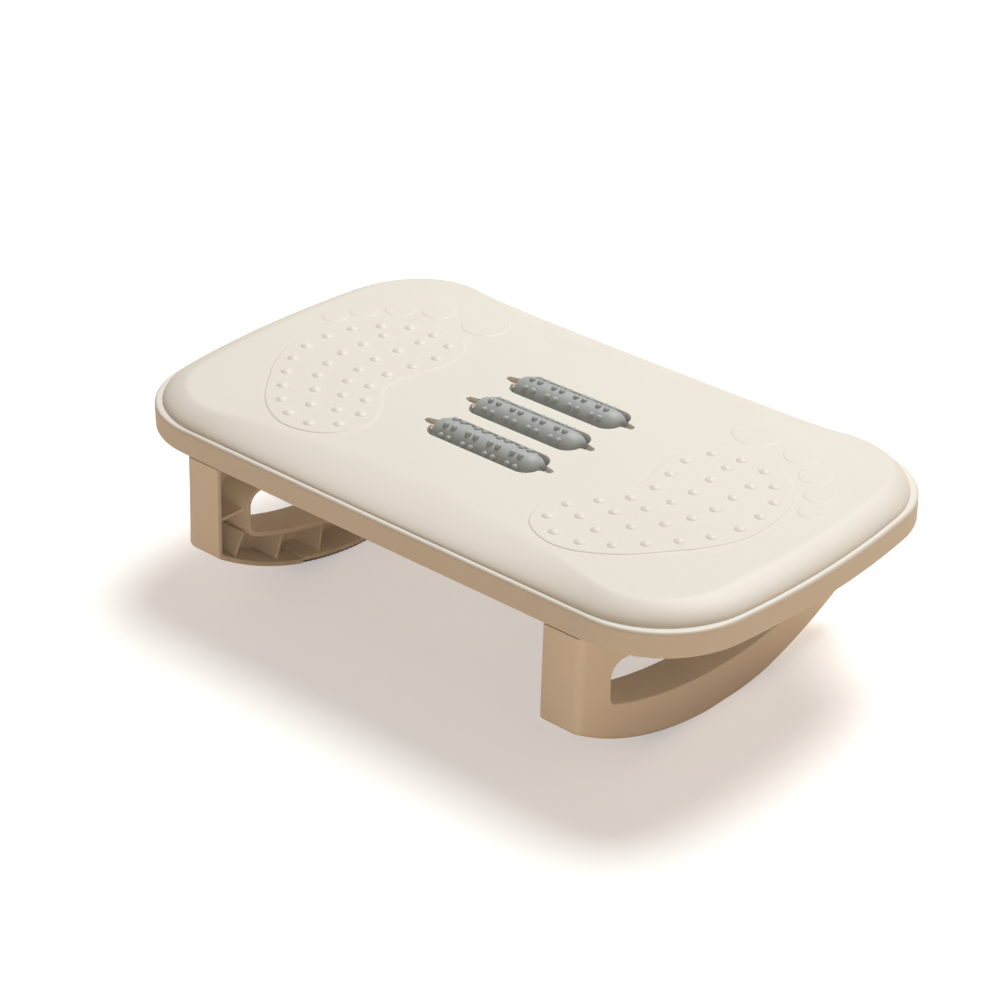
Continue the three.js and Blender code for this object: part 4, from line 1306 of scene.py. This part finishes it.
def leg_cross_ribs(shape):
    """Two level ribs, from the ends of the leg to the collar."""
    x0, x1 = LEG_INNER + LEG_RIB_RECESS, LEG_OUTER - LEG_WALL + RIB_INTO_FACE
    z0, z1 = (LEG_CROSS_RIB_HEIGHT + share * LEG_RIB_THICKNESS for share in (-0.5, 0.5))
    end = HALF_WIDTH - CROSS_RIB_GAP
    shape.block((x0, -end, z0), (x1, HOLE_FRONT - COLLAR_WALL / 2, z1))
    shape.block((x0, HOLE_BACK + COLLAR_WALL / 2, z0), (x1, end, z1))


def leg_tab(shape, y):
    """A screw tab that reaches inwards under the board, with a round hole for its screw."""
    low, high = LEG_TOP - TAB_THICKNESS, LEG_TOP
    x0, x1, half = LEG_INNER - TAB_REACH, LEG_INNER + LEG_WALL, TAB_WIDTH / 2
    radius, steps = TAB_CORNER_RADIUS, TAB_CORNER_STEPS
    outline = arc(x0 + radius, y + half - radius, radius, math.pi / 2, math.pi, steps)
    outline += arc(x0 + radius, y - half + radius, radius, math.pi, 1.5 * math.pi, steps)
    outline += [Vector((x1, y - half)), Vector((x1, y + half))]
    bottom, top = shape.band([level(outline, low), level(outline, high)])
    bore = circle((SCREW_X, y), SCREW_BORE, TAB_HOLE_STEPS)
    bore_low, bore_high = shape.band([level(bore, low), level(bore, high)])
    shape.sheet(bottom, [(bore_low, None)])
    shape.sheet(top, [(bore_high, None)])


# %% Both legs
def leg_mesh(side):
    """A leg at its place on one side. The left leg is the right one's mirror image."""
    shape = Gathering()
    face_edge, hollow_edge = leg_walls(shape)
    collar_foot, hole_edge = leg_collar(shape)
    shape.sheet(face_edge, [(hole_edge, None)], axes=(1, 2))
    shape.sheet(hollow_edge, [(collar_foot, None)], axes=(1, 2))
    for angle in LEG_RIB_ANGLES:
        leg_rib(shape, angle)
    leg_cross_ribs(shape)
    for y in SCREW_Y:
        leg_tab(shape, y)
    if side < 0:
        shape.points = [Vector((-p.x, p.y, p.z)) for p in shape.points]
    return shape.mesh("leg")


for side, word in SIDES:
    # The legs wear the lighter, warmer copy of the cream plastic: painted light.
    add_piece(f"{word}_rocker_leg", leg_mesh(side), leg_plastic, "frame", [f"{word}_leg"])

# %% [markdown]
# ## Screws
# Eight pan head screws hold the legs. Their heads have a cross recess and face the floor. One
# screw is made with its recess and copied to the eight places by the same Geometry Nodes tree.

# %% One pan head screw
SCREW_RADIUS = 1.6
SCREW_LENGTH = 10.4
SCREW_STEPS = 24
THREAD_TURNS = 9
THREAD_START = 1.0
THREAD_LENGTH = SCREW_LENGTH - 2.5
THREAD_RISE = 0.4
THREAD_ROOT = 0.8
TIP_SHARE = 0.6
TIP_LENGTH = 0.8
TIP_RADIUS = 0.05
HEAD_RADIUS = 3.6
HEAD_HEIGHT = 2.2
# Shares of the head's radius and of its height.
HEAD_CURVE = [(0.72, 1.0), (0.9, 0.86), (1.0, 0.55), (1.0, 0.0)]
CROSS_HALF = 2.1
CROSS_ARM = 0.55
CROSS_DEPTH = 1.3
CROSS_TAPER = 0.7
HEAD_SEAM = 0.05


def cross_outline(scale):
    """The outline of the cross recess: the three corners of an arm, turned to all four sides."""
    a, b = CROSS_ARM * scale, CROSS_HALF * scale
    outline, arm = [], [(b, -a), (b, a), (a, a)]
    for _ in range(4):
        outline += [Vector(corner) for corner in arm]
        arm = [(-y, x) for x, y in arm]
    return outline


def screw_mesh():
    """A screw that points up: its head hangs below the origin."""
    shape = Gathering()
    profile = [(HEAD_RADIUS * across, -HEAD_HEIGHT * down) for across, down in HEAD_CURVE]
    profile.append((SCREW_RADIUS, 0.0))
    for i in range(THREAD_TURNS):
        z = THREAD_START + THREAD_LENGTH * i / THREAD_TURNS
        profile += [(SCREW_RADIUS * THREAD_ROOT, z), (SCREW_RADIUS, z + THREAD_RISE)]
    profile += [(SCREW_RADIUS * TIP_SHARE, SCREW_LENGTH - TIP_LENGTH), (TIP_RADIUS, SCREW_LENGTH)]
    face, tip = shape.band(turned_rings(profile, SCREW_STEPS))
    shape.faces.append(tuple(tip))
    floor_z = -HEAD_HEIGHT + CROSS_DEPTH
    mouth, floor = shape.band([
        level(cross_outline(1.0), -HEAD_HEIGHT), level(cross_outline(CROSS_TAPER), floor_z),
    ])
    shape.sheet(face, [(mouth, None)])
    shape.sheet(floor)
    return shape.mesh("screw")


# %% All eight screws
head_z = LEG_TOP - TAB_THICKNESS - HEAD_SEAM
screw_places = [Matrix.Translation((x, y, head_z)) for x in (-SCREW_X, SCREW_X) for y in SCREW_Y]
screw_nodes = [f"{word}_leg_screw_{i + 1}" for _, word in SIDES for i in range(len(SCREW_Y))]
screw_data = copies("leg_screws", screw_mesh(), screw_places, screw_steel)
add_piece("leg_screws", screw_data, screw_steel, "frame", screw_nodes)

# %% [markdown]
# ## Rubber strips
# A strip is a bar of rubber that follows the rocker. Its cross section is a ring of eight
# points, swept along the arc. Shallow grooves across it give the floor something to grip.

# %% The strips
TREAD_PITCH = math.radians(1.0)
TREAD_DEPTH = 0.45
# Share of a tread's pitch, and whether the strip is sunk there.
TREAD_CURVE = [(0.0, 0), (0.62, 0), (0.7, 1), (0.92, 1)]
STRIP_BEVEL = 0.35


def strip_mesh(side):
    """A strip along the rocker. Each tread is level for most of its pitch and then dips."""
    shape, bevel = Gathering(), STRIP_BEVEL
    x0, x1 = LEG_INNER + STRIP_INSET, LEG_OUTER - STRIP_OUTER_RIM - STRIP_GAP
    angles = []
    for i in range(round((STRIP_TOE_ANGLE - STRIP_HEEL_ANGLE) / TREAD_PITCH)):
        start = STRIP_HEEL_ANGLE + TREAD_PITCH * i
        angles += [(start + TREAD_PITCH * share, sunk) for share, sunk in TREAD_CURVE]
    angles.append((STRIP_TOE_ANGLE, 0))
    rings = []
    for angle, sunk in angles:
        outer, inner = ROCKER_RADIUS - TREAD_DEPTH * sunk, ROCKER_RADIUS - STRIP_THICKNESS
        section = [
            (x0 + bevel, outer), (x1 - bevel, outer), (x1, outer - bevel), (x1, inner + bevel),
            (x1 - bevel, inner), (x0 + bevel, inner), (x0, inner + bevel), (x0, outer - bevel),
        ]
        rings.append([(side * x, *rocker_place(radius, angle)) for x, radius in section])
    first, last = shape.band(rings)
    shape.faces += [tuple(first), tuple(last)]
    return shape.mesh("strip")


for side, word in SIDES:
    strip = strip_mesh(side)
    add_piece(f"{word}_tread", strip, strip_rubber, "frame", [f"{word}_sole_strip"])

# %% [markdown]
# ## Floor and light
# The photograph is cut out on white. A large soft light hangs above and behind the footrest, and
# a weak warm one fills from the camera's side. Warm light also comes back from below, so the
# floor is a warm tone where light falls on it. The camera is shown white instead: a Light Path
# node tells a camera ray from all others, picks the tone, and adds a little glow for it.

# %% Floor
FLOOR_HALF = 6.0
FLOOR_LIT = (0.90, 0.68, 0.49, 1.0)
FLOOR_SEEN = (0.97, 0.97, 0.97, 1.0)
FLOOR_GLOW = 0.42
WHITE = (1.0, 1.0, 1.0, 1.0)

floor_data = bpy.data.meshes.new("floor")
floor_corners = [(-1, -1), (1, -1), (1, 1), (-1, 1)]
floor_data.from_pydata([(x * FLOOR_HALF, y * FLOOR_HALF, 0) for x, y in floor_corners], [], [(0, 1, 2, 3)])
floor = add_object("floor", floor_data)
floor_paint, floor_tree, floor_shader = new_material(
    "floor_paint", {"Emission Color": WHITE, "Roughness": 0.9, "Specular IOR Level": 0.1}
)
seen_or_lit = add_node(floor_tree, "ShaderNodeMix", {"A": FLOOR_LIT, "B": FLOOR_SEEN}, "RGBA")
ray = add_node(floor_tree, "ShaderNodeLightPath")
glow = add_node(floor_tree, "ShaderNodeMath")
glow.operation = "MULTIPLY"
glow.inputs[1].default_value = FLOOR_GLOW
link_nodes(
    floor_tree,
    (ray, "Is Camera Ray", seen_or_lit, "Factor"),
    (seen_or_lit, "Result", floor_shader, "Base Color"),
    (ray, "Is Camera Ray", glow, 0),
    (glow, "Value", floor_shader, "Emission Strength"),
)
floor_data.materials.append(floor_paint)
print("floor in m:", [round(v, 1) for v in floor.dimensions])

# %% Lights
LIGHT_TARGET = Vector((0.0, 0.0, 0.1))
WORLD_COLOUR = (1.0, 0.85, 0.70, 1.0)
WORLD_STRENGTH = 0.22


def area_light(name, place, size, power, colour):
    """A round soft light that is aimed at the footrest."""
    data = bpy.data.lights.new(name, "AREA")
    data.shape = "DISK"
    data.size = size
    data.energy = power
    data.color = colour
    aim(add_object(name, data), place, LIGHT_TARGET - Vector(place))


area_light("soft_top", place=(-0.15, 1.2, 2.5), size=1.9, power=76.0, colour=(0.985, 0.992, 0.985))
area_light("warm_fill", place=(1.9, -2.0, 0.7), size=1.6, power=8.4, colour=(1.0, 0.745, 0.50))

world = bpy.data.worlds.new("studio")
bpy.context.scene.world = world
world.use_nodes = True
background = world.node_tree.nodes["Background"]
background.inputs["Color"].default_value = WORLD_COLOUR
background.inputs["Strength"].default_value = WORLD_STRENGTH
bpy.context.scene.view_settings.view_transform = "Standard"
print("lights:", [light.name for light in bpy.data.lights])
